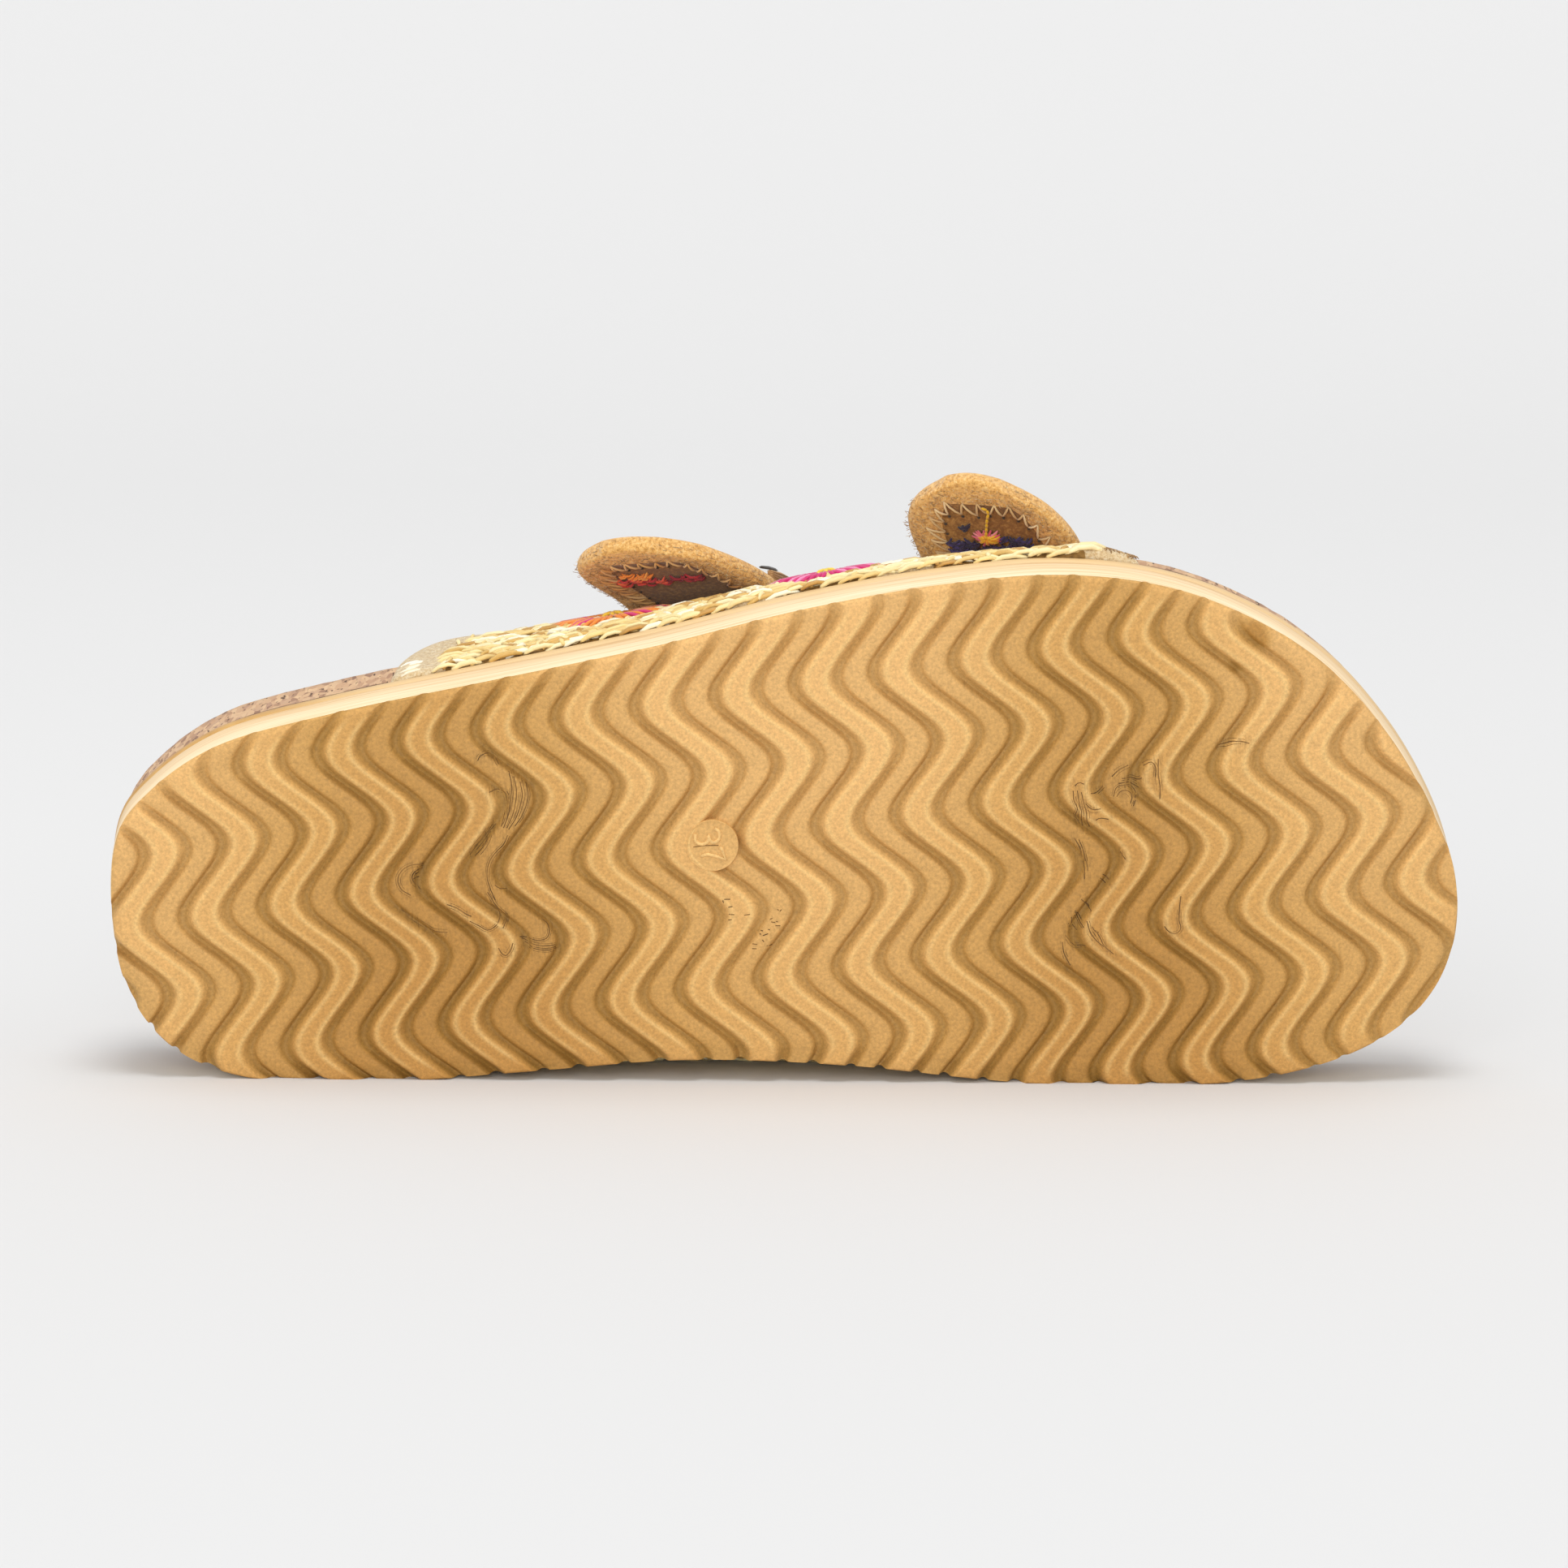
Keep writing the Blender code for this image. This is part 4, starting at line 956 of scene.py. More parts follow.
def wallMesh(name, layout, notch, rows, tail):
    # columns run from heel to toe over both straps and their web, rows go round and out to the tips
    girths = np.linspace(layout[0][0], layout[-1][0], rows + 1)
    if tail:
        girths = girths[::-1]
    upward = -1 if tail else 1
    reach = wall["bindingWidth" if tail else "quarterBinding"]
    webTop = max(j for j in range(rows + 1) if (notch - girths[j]) * upward >= 0)
    total = rows + len(tail)
    tipStart = total - wall["tipRows"] if tail else total + 1
    inWeb = range(panelCount + 1, panelCount + wall["webCells"])
    spots = np.zeros((columnCount + 1, total + 1, 3))
    for j in range(rows + 1):
        edges = [column(layout, k, girths[j]) for k in (1, 2, 3, 4)]
        web = list(np.linspace(edges[1], edges[2], wall["webCells"] + 1)[1:-1])
        along = np.array(panelColumns(*edges[:2], reach) + web + panelColumns(*edges[2:], reach))
        girth = np.full(len(along), girths[j])
        if j == webTop:
            girth[list(inWeb)] -= upward * upper["notchDip"]
        spots[:, j] = onUpper(along, girth, strapLift(girth) if tail else frontBump(along))
    for j, u in enumerate(tail):
        for strap, first in (("rear", 0), ("front", panelCount + wall["webCells"])):
            half = float(tailHalf(strap, u))
            across = np.array(panelColumns(-half, half, reach))
            bow = wall["tipBow"] * (u / tails["length"]) ** 6 * (1 - (across / half) ** 2)
            spots[first:first + panelCount + 1, rows + 1 + j] = onTail(strap, across, u + bow)
    bm = bmesh.new()
    layer = bm.verts.layers.deform.verify()
    made, i, j = gridVerts(bm, columnCount, total)
    grid = {vert: (a, b) for vert, a, b in zip(made, i, j)}
    openWeb = range(panelCount, panelCount + wall["webCells"])
    spare = []
    for face in bm.faces:
        a, b = (min(k) for k in zip(*(grid[v] for v in face.verts)))
        if a in openWeb and b >= webTop:
            spare.append(face)
            continue
        local = a if a < panelCount else a - panelCount - wall["webCells"]
        rim = a not in openWeb and (local < 3 or local >= panelCount - 3)
        face.material_index = 0 if rim or b >= tipStart else 1
    bmesh.ops.delete(bm, geom=spare, context="FACES")
    for vert in bm.verts:
        a, b = grid[vert]
        share = wall["panelShare"] if a in inWeb else bindingShare(a)
        if b >= tipStart:
            share = 1.0 if b < total else wall["edgeShare"]
        if a in range(panelCount, panelCount + wall["webCells"] + 1) and b == webTop:
            share = 1.0
        vert[layer][0] = share
        vert.co = lay(spots[a, b])
    return meshFrom(bm, name)


def buildWall(name, node, layout, notch, rows, tail, materials):
    mesh = wallMesh(name, layout, notch, rows, tail)
    inside = Vector(lay(wall["inside"]))
    if sum((face.center - inside).dot(face.normal) * face.area for face in mesh.polygons) < 0:
        mesh.flip_normals()
    piece = keepPiece(name, mesh, materials, [node])
    piece.vertex_groups.new(name="binding")
    thick = piece.modifiers.new("thickness", "SOLIDIFY")
    thick.thickness = upper["binding"] * mm
    thick.offset = 0.0
    thick.vertex_group = "binding"
    thick.material_offset = 2
    smooth = piece.modifiers.new("smooth", "SUBSURF")
    smooth.levels = 2
    smooth.render_levels = 2
    applyModifiers(piece)
    floorClamp(piece.data)
    print(name, len(piece.data.polygons), "faces")


def suedeBinding(name, dark, mid, pale):
    # brushed tape of suede or cotton: curled nap with pale fibre ends
    material, tree, shader = newMaterial(name)
    spot = addNode(tree, "ShaderNodeTexCoord").outputs["Object"]
    # nap curls of 0.4 mm, drawn 0.65 mm wide so that they show
    nap = addNode(tree, "ShaderNodeTexNoise", {"Scale": 1 / (0.65 * mm), "Detail": 4.0, "Roughness": 0.8},
                  {"Vector": spot})
    curl = addNode(tree, "ShaderNodeTexVoronoi", {"Scale": 1 / (0.9 * mm), "feature": "SMOOTH_F1"},
                   {"Vector": spot})
    shade = addNode(tree, "ShaderNodeValToRGB", {}, {"Fac": nap.outputs["Fac"]},
                    ((0.3, dark), (0.48, mid), (0.68, pale)))
    tree.links.new(shade.outputs["Color"], shader.inputs["Base Color"])
    shader.inputs["Roughness"].default_value = 0.95
    shader.inputs["Sheen Weight"].default_value = 0.3
    shader.inputs["Sheen Roughness"].default_value = 0.5
    both = addNode(tree, "ShaderNodeMath", {"operation": "SUBTRACT"},
                   {0: nap.outputs["Fac"], 1: curl.outputs["Distance"]})
    bumpInto(tree, shader, both.outputs[0], 0.8, 0.6)
    return material


def suedeLining(name, dark, mid, pale):
    # split suede: short even nap, dull and cloudy
    material, tree, shader = newMaterial(name)
    spot = addNode(tree, "ShaderNodeTexCoord").outputs["Object"]
    # nap of 0.3 mm, drawn 0.8 mm wide so that it shows
    nap = addNode(tree, "ShaderNodeTexNoise", {"Scale": 1 / (0.8 * mm), "Detail": 4.0, "Roughness": 0.7},
                  {"Vector": spot})
    cloud = addNode(tree, "ShaderNodeTexNoise", {"Scale": 1 / (18 * mm), "Detail": 2.0}, {"Vector": spot})
    both = addNode(tree, "ShaderNodeMath", {"operation": "MULTIPLY_ADD", 1: 0.4},
                   {0: cloud.outputs["Fac"], 2: nap.outputs["Fac"]})
    shade = addNode(tree, "ShaderNodeValToRGB", {}, {"Fac": both.outputs[0]},
                    ((0.45, dark), (0.7, mid), (0.95, pale)))
    tree.links.new(shade.outputs["Color"], shader.inputs["Base Color"])
    shader.inputs["Roughness"].default_value = 0.95
    shader.inputs["Sheen Weight"].default_value = 0.25
    bumpInto(tree, shader, nap.outputs["Fac"], 0.5, 0.35)
    return material


def raffiaGround():
    # raffia seen between the strands: shaded straw
    material, tree, shader = newMaterial("shaded raffia ground")
    spot = addNode(tree, "ShaderNodeTexCoord").outputs["Object"]
    fibre = addNode(tree, "ShaderNodeTexNoise", {"Scale": 1 / (1.2 * mm), "Detail": 3.0}, {"Vector": spot})
    shade = addNode(tree, "ShaderNodeValToRGB", {}, {"Fac": fibre.outputs["Fac"]},
                    ((0.3, "#6E4E1E"), (0.7, "#A88040")))
    tree.links.new(shade.outputs["Color"], shader.inputs["Base Color"])
    shader.inputs["Roughness"].default_value = 0.8
    bumpInto(tree, shader, fibre.outputs["Fac"], 0.5, 0.4)
    return material


# strands: raffia legs, stitches, embroidery threads and nap fibres are all bent from one small form
def strandTemplate(around, lengths):
    bm = bmesh.new()
    bmesh.ops.create_uvsphere(bm, u_segments=around, v_segments=lengths, radius=1.0)
    mesh = bpy.data.meshes.new("strandTemplate")
    bm.to_mesh(mesh)
    bm.free()
    return mesh


def strandPiece(name, strands, template, material, blunt=0.55):
    # each strand: start, middle, end, outward, half width, half thickness, colour
    starts, middles, ends, outs = (np.array([s[k] for s in strands], float) for k in range(4))
    widths, thicks = (np.array([s[k] for s in strands], float) for k in (4, 5))
    colours = np.array([linear(s[6]) for s in strands], np.float32)
    form = np.array([v.co for v in template.vertices])
    u = (form[:, 2] + 1) / 2
    ring = np.hypot(form[:, 0], form[:, 1])
    keep = np.where(ring > 1e-6, np.maximum(ring, 1e-6) ** (blunt - 1), 0.0)
    control = 2 * middles - (starts + ends) / 2
    u3 = u[None, :, None]
    centre = (starts[:, None] * (1 - u3) ** 2 + 2 * control[:, None] * u3 * (1 - u3)
              + ends[:, None] * u3 ** 2)
    along = 2 * (control - starts)[:, None] * (1 - u3) + 2 * (ends - control)[:, None] * u3
    side = np.cross(along, outs[:, None, :])
    side /= np.maximum(np.linalg.norm(side, axis=2), 1e-9)[:, :, None]
    out = np.cross(side, along)
    out /= np.maximum(np.linalg.norm(out, axis=2), 1e-9)[:, :, None]
    spots = (centre + side * (form[:, 0] * keep)[None, :, None] * widths[:, None, None]
             + out * (form[:, 1] * keep)[None, :, None] * thicks[:, None, None])
    bm = bmesh.new()
    for _ in strands:
        bm.from_mesh(template)
    mesh = bpy.data.meshes.new(name)
    bm.to_mesh(mesh)
    bm.free()
    world = lay(spots.reshape(-1, 3))
    world[:, 2] = np.maximum(world[:, 2], 0.02 * mm)
    mesh.vertices.foreach_set("co", world.ravel())
    count = len(form)
    paint = mesh.attributes.new("colour", "FLOAT_COLOR", "POINT")
    paint.data.foreach_set("color", np.repeat(colours, count, axis=0).ravel())
    # a step of 0.37 from strand to strand, so that no two show the same fibres
    fibreStart = np.repeat(np.arange(len(strands)) * 0.37, count).astype(np.float32)
    paintPoints(mesh, {
        "lengthwise": np.tile(u, len(strands)),
        "around": np.tile(form[:, 0], len(strands)).astype(np.float32) + fibreStart})
    mesh.update()
    mesh.shade_smooth()
    keepPiece(name, mesh, [material])
    print(name, len(strands), "strands")


def strandMaterial(name, roughness, streak, sheen):
    # plant fibre or spun thread: each strand has its own colour, fine lengthwise streaks and a soft sheen
    material, tree, shader = newMaterial(name)
    colour = addNode(tree, "ShaderNodeAttribute", {"attribute_name": "colour"}).outputs["Color"]
    run = addNode(tree, "ShaderNodeAttribute", {"attribute_name": "lengthwise"}).outputs["Fac"]
    around = addNode(tree, "ShaderNodeAttribute", {"attribute_name": "around"}).outputs["Fac"]
    spot = addNode(tree, "ShaderNodeCombineXYZ", {}, {"X": around, "Y": run})
    # fibres along the strand, about six across its width
    stretch = addNode(tree, "ShaderNodeMapping", {"Scale": (6.0, 0.8, 1.0)},
                      {"Vector": spot.outputs["Vector"]})
    fibre = addNode(tree, "ShaderNodeTexNoise", {"Scale": 1.0, "Detail": 2.0},
                    {"Vector": stretch.outputs["Vector"]})
    shade = addNode(tree, "ShaderNodeValToRGB", {}, {"Fac": fibre.outputs["Fac"]},
                    ((0.25, 1 - streak), (0.75, 1 + streak / 2)))
    mixed = addNode(tree, "ShaderNodeMix", {"data_type": "RGBA", "blend_type": "MULTIPLY", "Factor": 1.0},
                    {6: colour, 7: shade.outputs["Color"]})
    tree.links.new(mixed.outputs[2], shader.inputs["Base Color"])
    shader.inputs["Roughness"].default_value = roughness
    shader.inputs["Sheen Weight"].default_value = sheen
    bumpInto(tree, shader, fibre.outputs["Fac"], 0.35, 0.2)
    return material


# raffia in rows of chain stitch over the straps and the lateral quarter
raffia = {
    "rowStep": 2.5,
    "pitch": 3.5,
    "leg": 6.6,
    "spread": 0.95,
    "halfWidth": 0.6,
    "halfThick": 0.5,
    "lift": 1.3,
    "ragged": 1.5,             # the rows start and end this unevenly
    "loops": (0.4, 1.9, 1.6),  # share of stitches with a loop across, its half length, its tilt
    "margin": (3.4, 7.4),      # bare edge of the straps and of the lateral quarter
    "whips": (9, 0.8),         # threads over the rear end of the lateral quarter, their spacing
    "wornFibres": 170,         # on the front end of the lateral quarter
    "colours": ("#F8E9B8", "#F2DC9E", "#FBF3D6", "#E8C880", "#F6E4AC", "#EFD48E", "#D8AE5E", "#C2944A"),
    "whip": ("#F6ECD2", "#E9D6AC", "#FBF5E4"),
    "wearAndHighlight": ("#B9925A", "#A27A46", "#CFAE78", "#8A6436"),
}


def chainStitch(place, out, a, b):
    # two legs of one chain stitch, and now and then a loop across it, in millimetres along and across
    made = []
    for sign in (-1, 1):
        spread = raffia["spread"] * random.uniform(0.6, 1.35)
        leg = raffia["leg"] * random.uniform(0.75, 1.2)
        lift = raffia["lift"] + random.uniform(-0.25, 0.45)
        b0, b1 = b + sign * spread * 1.3, b + sign * random.uniform(-0.8, 0.9)
        bow = sign * random.uniform(-0.3, 1.0)
        made.append((place(a, b0, lift - 0.75), place(a + leg / 2, (b0 + b1) / 2 + bow, lift + 0.35),
                     place(a + leg, b1, lift - 0.45), out(a + leg / 2, b),
                     raffia["halfWidth"] * random.uniform(0.7, 1.2),
                     raffia["halfThick"] * random.uniform(0.8, 1.2), random.choice(raffia["colours"])))
    share, reach, most = raffia["loops"]
    if random.random() < share:
        tilt = random.uniform(-most, most)
        lift = raffia["lift"] + 0.3
        made.append((place(a - tilt, b - reach, lift - 0.6), place(a, b, lift + 0.45),
                     place(a + tilt, b + reach, lift - 0.6), out(a, b),
                     raffia["halfWidth"] * random.uniform(0.6, 0.95), raffia["halfThick"] * 0.9,
                     random.choice(raffia["colours"])))
    return made


def chainRun(place, out, start, end):
    made = []
    a = start + random.uniform(0.0, raffia["ragged"])
    while a + raffia["leg"] < end + raffia["ragged"]:
        made += chainStitch(place, out, a, random.uniform(-0.25, 0.25))
        a += raffia["pitch"] * random.uniform(0.9, 1.1)
    return made


def raffiaStrands(layout, notch, tail):
    made = []
    low, high = layout[0][0], layout[-1][0]
    size = upper["girthMm"]
    margin = raffia["margin"][0 if tail else 1]
    rows = int((high - low) * size / raffia["rowStep"])
    for k in range(rows + 1):
        girth = low + (k + 0.45) * raffia["rowStep"] / size
        if girth > high:
            continue
        edges = [float(column(layout, n, girth)) for n in (1, 2, 3, 4)]
        joined = girth >= notch + 0.02 if tail else girth <= notch - 0.02
        runs = [(edges[0], edges[3])] if joined else [edges[:2], edges[2:]]

        def place(a, b, lift):
            g = girth + b / size
            return onUpper(a, g, lift + (strapLift(g) if tail else frontBump(a)))[0]

        def out(a, b):
            return outOf(a, girth + b / size)[0]

        for start, end in runs:
            made += chainRun(place, out, start + margin, end - margin)
    if not tail:
        # pale threads whipped over the rear end of the lateral quarter, and worn fibres on its front end
        count, gap = raffia["whips"]
        loose = [(1, 0.6 + gap * k, random.uniform(1.2, 2.4), 5.2, 0.3, "whip") for k in range(count)]
        for _ in range(raffia["wornFibres"]):
            loose.append((4, random.uniform(0.3, 13.0), -random.uniform(1.0, 7.2),
                          random.uniform(-1.6, 1.6), 0.13, "wearAndHighlight"))
        for end, b, step, run, half, key in loose:
            girth = low + b / size
            a = float(column(layout, end, girth)) + step
            spots = ((a, 0.0, 1.1), (a + 0.45 * run, 0.6, 1.7), (a + run, 1.4, 1.2))
            made.append((*(onUpper(x, girth + y / size, lift + frontBump(x))[0] for x, y, lift in spots),
                         outOf(a, girth)[0], half, 0.9 * half, random.choice(raffia[key])))
    if tail:
        for name in ("rear", "front"):
            normal = tailFrame(name)[1]
            for k in range(int((tails["length"] - 5) / raffia["rowStep"])):
                u = (k + 0.3) * raffia["rowStep"]
                half = float(tailHalf(name, u)) - margin
                made += chainRun(lambda a, b, lift: onTail(name, a, u - b, lift)[0],
                                 lambda a, b: normal, -half, half)
    return made


# stitches and nap round the strap ends, seen from below
stitch = {
    "inset": (3.8, 7.1),
    "step": 1.45,
    "rear": ("#D9A864", "#C98F4E", "#E0B478"),
    "front": ("#E4C48E", "#D6B078", "#ECD0A0"),
    "edge": (                  # colour, half width, share of the rise, u and rise
        # the dark strand is painted shadow in the gap beside the tan curled edge
        ("#33281F", 0.35, (1.0,), ((15.9, 1.8), (12.8, 3.0), (9.6, 3.9))),
        ("#CFA068", 0.75, (1.0, 0.75, 0.5, 0.25, 0.05), ((13.5, 2.2), (8.7, 3.6), (3.4, 4.9)))),
    "edgeAcross": 14.6,
    "edgeFoot": 1.1,           # rise of the strap's own surface there
    "halfWidth": 0.23,
    # painted shade of the needle holes
    "hole": "#3B2A16",
    "holeSpots": ((-0.25, -1.2), (0.0, -1.3), (0.25, -1.2)),       # across, rise
    "fibres": 900,
    "napPaths": ((0.1, 0.0), (0.4, -0.8), (1.2, -1.5), (2.4, -1.85), (3.4, -1.8)),     # inset, rise
    "nap": ("#D9B27A", "#B98A50", "#8E6A3C", "#EBD0A0"),
}


def tailOutline(name, inset):
    length = tails["length"]
    u = np.linspace(0.0, length - inset, 60)
    half = tailHalf(name, np.minimum(u + inset * 0.35 * (u / length) ** 4, length)) - inset
    left = np.column_stack([-half, u])
    tip = np.column_stack([np.linspace(-half[-1], half[-1], 12)[1:-1], np.full(10, length - inset)])
    right = np.column_stack([half, u])[::-1]
    return np.vstack([left, tip, right])


def alongPath(path, step):
    run = runAlong(path)
    at = np.arange(0.0, run[-1], step)
    return np.column_stack([np.interp(at, run, path[:, 0]), np.interp(at, run, path[:, 1])])


def zigzagStrands():
    made = []
    half = stitch["halfWidth"]
    for name in ("rear", "front"):
        normal = tailFrame(name)[1]
        paths = [tailOutline(name, inset) for inset in stitch["inset"]]
        lengths = [np.linalg.norm(np.diff(path, axis=0), axis=1).sum() for path in paths]
        count = int(lengths[0] / stitch["step"])
        outer, inner = (alongPath(path, length / count) for path, length in zip(paths, lengths))
        spots = []
        for k in range(min(len(outer), len(inner))):
            jitter = np.array([random.uniform(-0.3, 0.3), random.uniform(-0.3, 0.3)])
            spots.append((outer if k % 2 else inner)[k] + jitter)
        for k, (a, b) in enumerate(zip(spots[:-1], spots[1:])):
            rises = (-1.9, -1.3) if k % 2 else (-1.3, -1.9)
            made.append((onTail(name, *a, rises[0])[0], onTail(name, *((a + b) / 2), -2.1)[0],
                         onTail(name, *b, rises[1])[0], -normal, half, half, random.choice(stitch[name])))
            if k % 2 == 0:
                # needle hole beside the inner end of the stitch: a dark strand as painted shade inside the
                # hole
                hole = [onTail(name, a[0] + da, a[1] - 0.5, rise)[0] for da, rise in stitch["holeSpots"]]
                made.append((*hole, -normal, 0.3, 0.25, stitch["hole"]))
    return made


def napStrands():
    made = []
    for name in ("rear", "front"):
        paths = [(alongPath(tailOutline(name, inset), 0.4), rise) for inset, rise in stitch["napPaths"]]
        for _ in range(stitch["fibres"]):
            path, rise = random.choice(paths)
            a, u = random.choice(path)
            turn, reach = random.uniform(0, 2 * math.pi), random.uniform(0.35, 0.7)
            da, du = reach * math.cos(turn), reach * math.sin(turn)
            made.append((onTail(name, a, u, rise)[0], onTail(name, a + da, u + du, rise - 0.35)[0],
                         onTail(name, a + da * 1.7 - du * 0.6, u + du * 1.7 + da * 0.6, rise - 0.2)[0],
                         tailFrame(name)[1], 0.055, 0.055, random.choice(stitch["nap"])))
    # outer edge of the rear strap, which curls up beside its end, with a dark strand of painted shadow in
    # the gap along it
    across, foot = stitch["edgeAcross"], stitch["edgeFoot"]
    for colour, half, shares, spots in stitch["edge"]:
        for share in shares:
            made.append((*(onTail("rear", across, u, foot + share * (rise - foot))[0] for u, rise in spots),
                         tailFrame("rear")[1], half, 0.4, colour))
    return made


# embroidery: plain five-petal flowers, and the backs of their threads under the strap ends
embroidery = {
    "orange": ("#EE8A2A", "#D4246E", "#F2C336"),       # petals, tips, middle
    "coral": ("#EE8A2A", "#E2557A", "#F2C336"),
    "pink": ("#D3176F", "#EE86B4", "#F0D040"),
    "violet": ("#5A3478", "#8A5AA8", "#F0D040"),
    "quarter": (               # along, girth in mm, radius, colours
        (97.5, 20.0, 10.4, "orange"), (138.5, 11.8, 9.2, "pink"), (172.0, 24.0, 6.5, "coral")),
    "straps": (
        (116.0, 102.0, 8.0, "pink"), (98.0, 152.0, 9.5, "orange"), (174.0, 112.0, 8.0, "violet"),
        (172.0, 160.0, 9.0, "pink")),
    "wide": 1.35,              # the flowers of the quarter are longer than high
    "threads": 9,
    "halfWidth": 0.55,
    "lift": 2.0,
    "rearBack": (              # across, u, spread across, spread of u, count, colours
        (-7.0, 19.6, 2.4, 1.3, 14, ("#D9432F", "#E8663C", "#C93A34")),
        (-4.0, 21.8, 2.8, 0.9, 14, ("#F08A30", "#F2A048")),
        (-2.0, 19.4, 2.4, 1.2, 12, ("#E0553C", "#B92A30")),
        (3.5, 19.6, 3.0, 0.9, 16, ("#9C1D2A", "#B92A30", "#7E1622"))),
    "frontBack": (
        (-6.4, 16.8, 2.3, 1.5, 34, ("#33254C", "#45366A", "#2A1E3C")),
        (-2.0, 16.2, 2.4, 1.2, 26, ("#33203F", "#45305A", "#2A1A33")),
        (4.3, 17.8, 3.1, 1.8, 54, ("#33254C", "#3E3066", "#2A1E3C")),
        (-4.4, 21.7, 0.4, 0.4, 5, ("#2A1E33",))),
    "star": (-0.8, 20.0),
    "rays": (                  # count, shortest, longest, colours
        (16, 2.4, 3.9, ("#DE6A78", "#D9526A", "#E88A8E")),
        (20, 1.4, 2.9, ("#E8A818", "#E8902E", "#F0BC2A"))),
    "loop": ((-0.8, 20.6), (0.5, 24.2), (1.4, 27.3), (0.6, 27.6)),
    "loopColour": "#E3B010",
}


def flowerStrands(place, out, a, b, radius, colours, wide=1.0):
    petals, tips, middle = colours
    lift, half = embroidery["lift"], embroidery["halfWidth"]
    made = []
    for petal in range(5):
        aim = 2 * math.pi * (petal + 0.3) / 5
        for n in range(embroidery["threads"]):
            fan = (n / (embroidery["threads"] - 1) - 0.5) * 1.15
            reach = radius * (1 - 0.9 * fan ** 2) * random.uniform(0.93, 1.05)
            spots = [(r * math.cos(aim + f), r * math.sin(aim + f)) for r, f in
                     ((0.2 * radius, fan * 0.5), (0.6 * reach, fan * 0.95), (reach, fan * 0.75))]
            lifts = (lift - 0.3, lift + 0.35, lift - 0.6)
            made.append((*(place(a + wide * da, b + db, rise) for (da, db), rise in zip(spots, lifts)),
                         out(a, b), half, half * 0.8, tips if n in (2, 4) else petals))
        # short thread of the middle
        da, db = radius * math.cos(aim + 0.6), radius * math.sin(aim + 0.6)
        made.append((place(a, b, lift + 0.2), place(a + 0.1 * da, b + 0.1 * db, lift + 0.7),
                     place(a + 0.24 * da, b + 0.24 * db, lift - 0.2), out(a, b), 0.55, 0.45, middle))
    return made


def embroideryStrands():
    size = upper["girthMm"]
    made = []

    def out(x, y):
        return outOf(x, y / size)[0]

    for a, b, radius, key in embroidery["quarter"]:
        made += flowerStrands(lambda x, y, lift: onUpper(x, y / size, lift)[0], out,
                              a, b, radius, embroidery[key], embroidery["wide"])
    for a, b, radius, key in embroidery["straps"]:
        made += flowerStrands(lambda x, y, lift: onUpper(x, y / size, lift + strapLift(y / size))[0], out,
                              a, b, radius, embroidery[key])
    for name in ("rear", "front"):
        normal = tailFrame(name)[1]
        for a, u, wide, tall, count, colours in embroidery[name + "Back"]:
            for _ in range(count):
                x, y = a + random.uniform(-wide, wide), u + random.uniform(-tall, tall)
                turn, half = random.uniform(-0.7, 0.7), random.uniform(0.7, 1.5)
                dx, dy = half * math.cos(turn), half * math.sin(turn)
                made.append((onTail(name, x - dx, y - dy, -1.0)[0],
                             onTail(name, x, y, -1.75 - random.uniform(0, 0.3))[0],
                             onTail(name, x + dx, y + dy, -1.0)[0], -normal, 0.3, 0.26,
                             random.choice(colours)))
    normal = tailFrame("front")[1]
    a, u = embroidery["star"]
    for layer, (count, near, far, colours) in enumerate(embroidery["rays"]):
        for k in range(count):
            turn = 2 * math.pi * k / count + random.uniform(-0.15, 0.15)
            reach = random.uniform(near, far)
            dx, dy = reach * math.cos(turn), reach * math.sin(turn) * 0.7 - 0.3
            made.append((onTail("front", a, u, -1.9 - 0.2 * layer)[0],
                         onTail("front", a + dx / 2, u + dy / 2, -2.2 - 0.3 * layer)[0],
                         onTail("front", a + dx, u + dy, -1.5)[0], -normal, 0.28, 0.25,
                         random.choice(colours)))
    loop = smoothPath(embroidery["loop"], 1.0)
    for start, end in zip(loop[:-1], loop[1:]):
        spots = (onTail("front", *spot, -2.3)[0] for spot in (start, (start + end) / 2, end))
        made.append((*spots, -normal, 0.32, 0.3, embroidery["loopColour"]))
    return made


# cork footbed and its suede sock
footbed = {
    "rim": (                   # along, lateral rim, medial rim, hollow
        (0.0, 17.0, 17.0, 8.0), (30.0, 17.0, 17.0, 9.0), (75.0, 16.0, 18.0, 9.0), (110.0, 14.0, 19.0, 8.0),
        (145.0, 11.5, 15.0, 5.5), (180.0, 10.0, 11.0, 4.0), (220.0, 8.5, 8.5, 3.0), (250.0, 8.0, 8.0, 2.5)),
    "inset": 0.2,
    "rimRound": 1.5,
    "hollowRun": 17.0,
    "cover": (0.6, -1.8),      # where the cork steps in at the upper's edge
    "stations": 150,
    "sideShares": (0.0, 0.12, 0.2, 0.25, 0.3, 0.45, 0.6, 0.8),
    "lipShadow": (2.1, 2.7, 3.4, 4.1),      # painted shadow that the foam's lip casts on the cork: heights where it starts, is full, thins and ends
    "across": (
        0.0, 0.008, 0.025, 0.05, 0.09, 0.15, 0.23, 0.33, 0.44,
        0.56, 0.67, 0.77, 0.85, 0.91, 0.95, 0.975, 0.992, 1.0),
    "seat": 0.3,
    "clear": 0.5,              # from the upper's wall
    "corner": 0.025,           # share of the width over which the rim turns down
    "endAngle": 0.008,
    "grain": (2.2, 0.12),      # size and height of the cork's bumps
    "sockThick": 1.4,
    "sockClear": 0.4,
    "sockSkip": 9,
}


def footbedRim(along, share):
    lateral = column(footbed["rim"], 1, along)
    return foamTop(along) + lateral + (column(footbed["rim"], 2, along) - lateral) * share


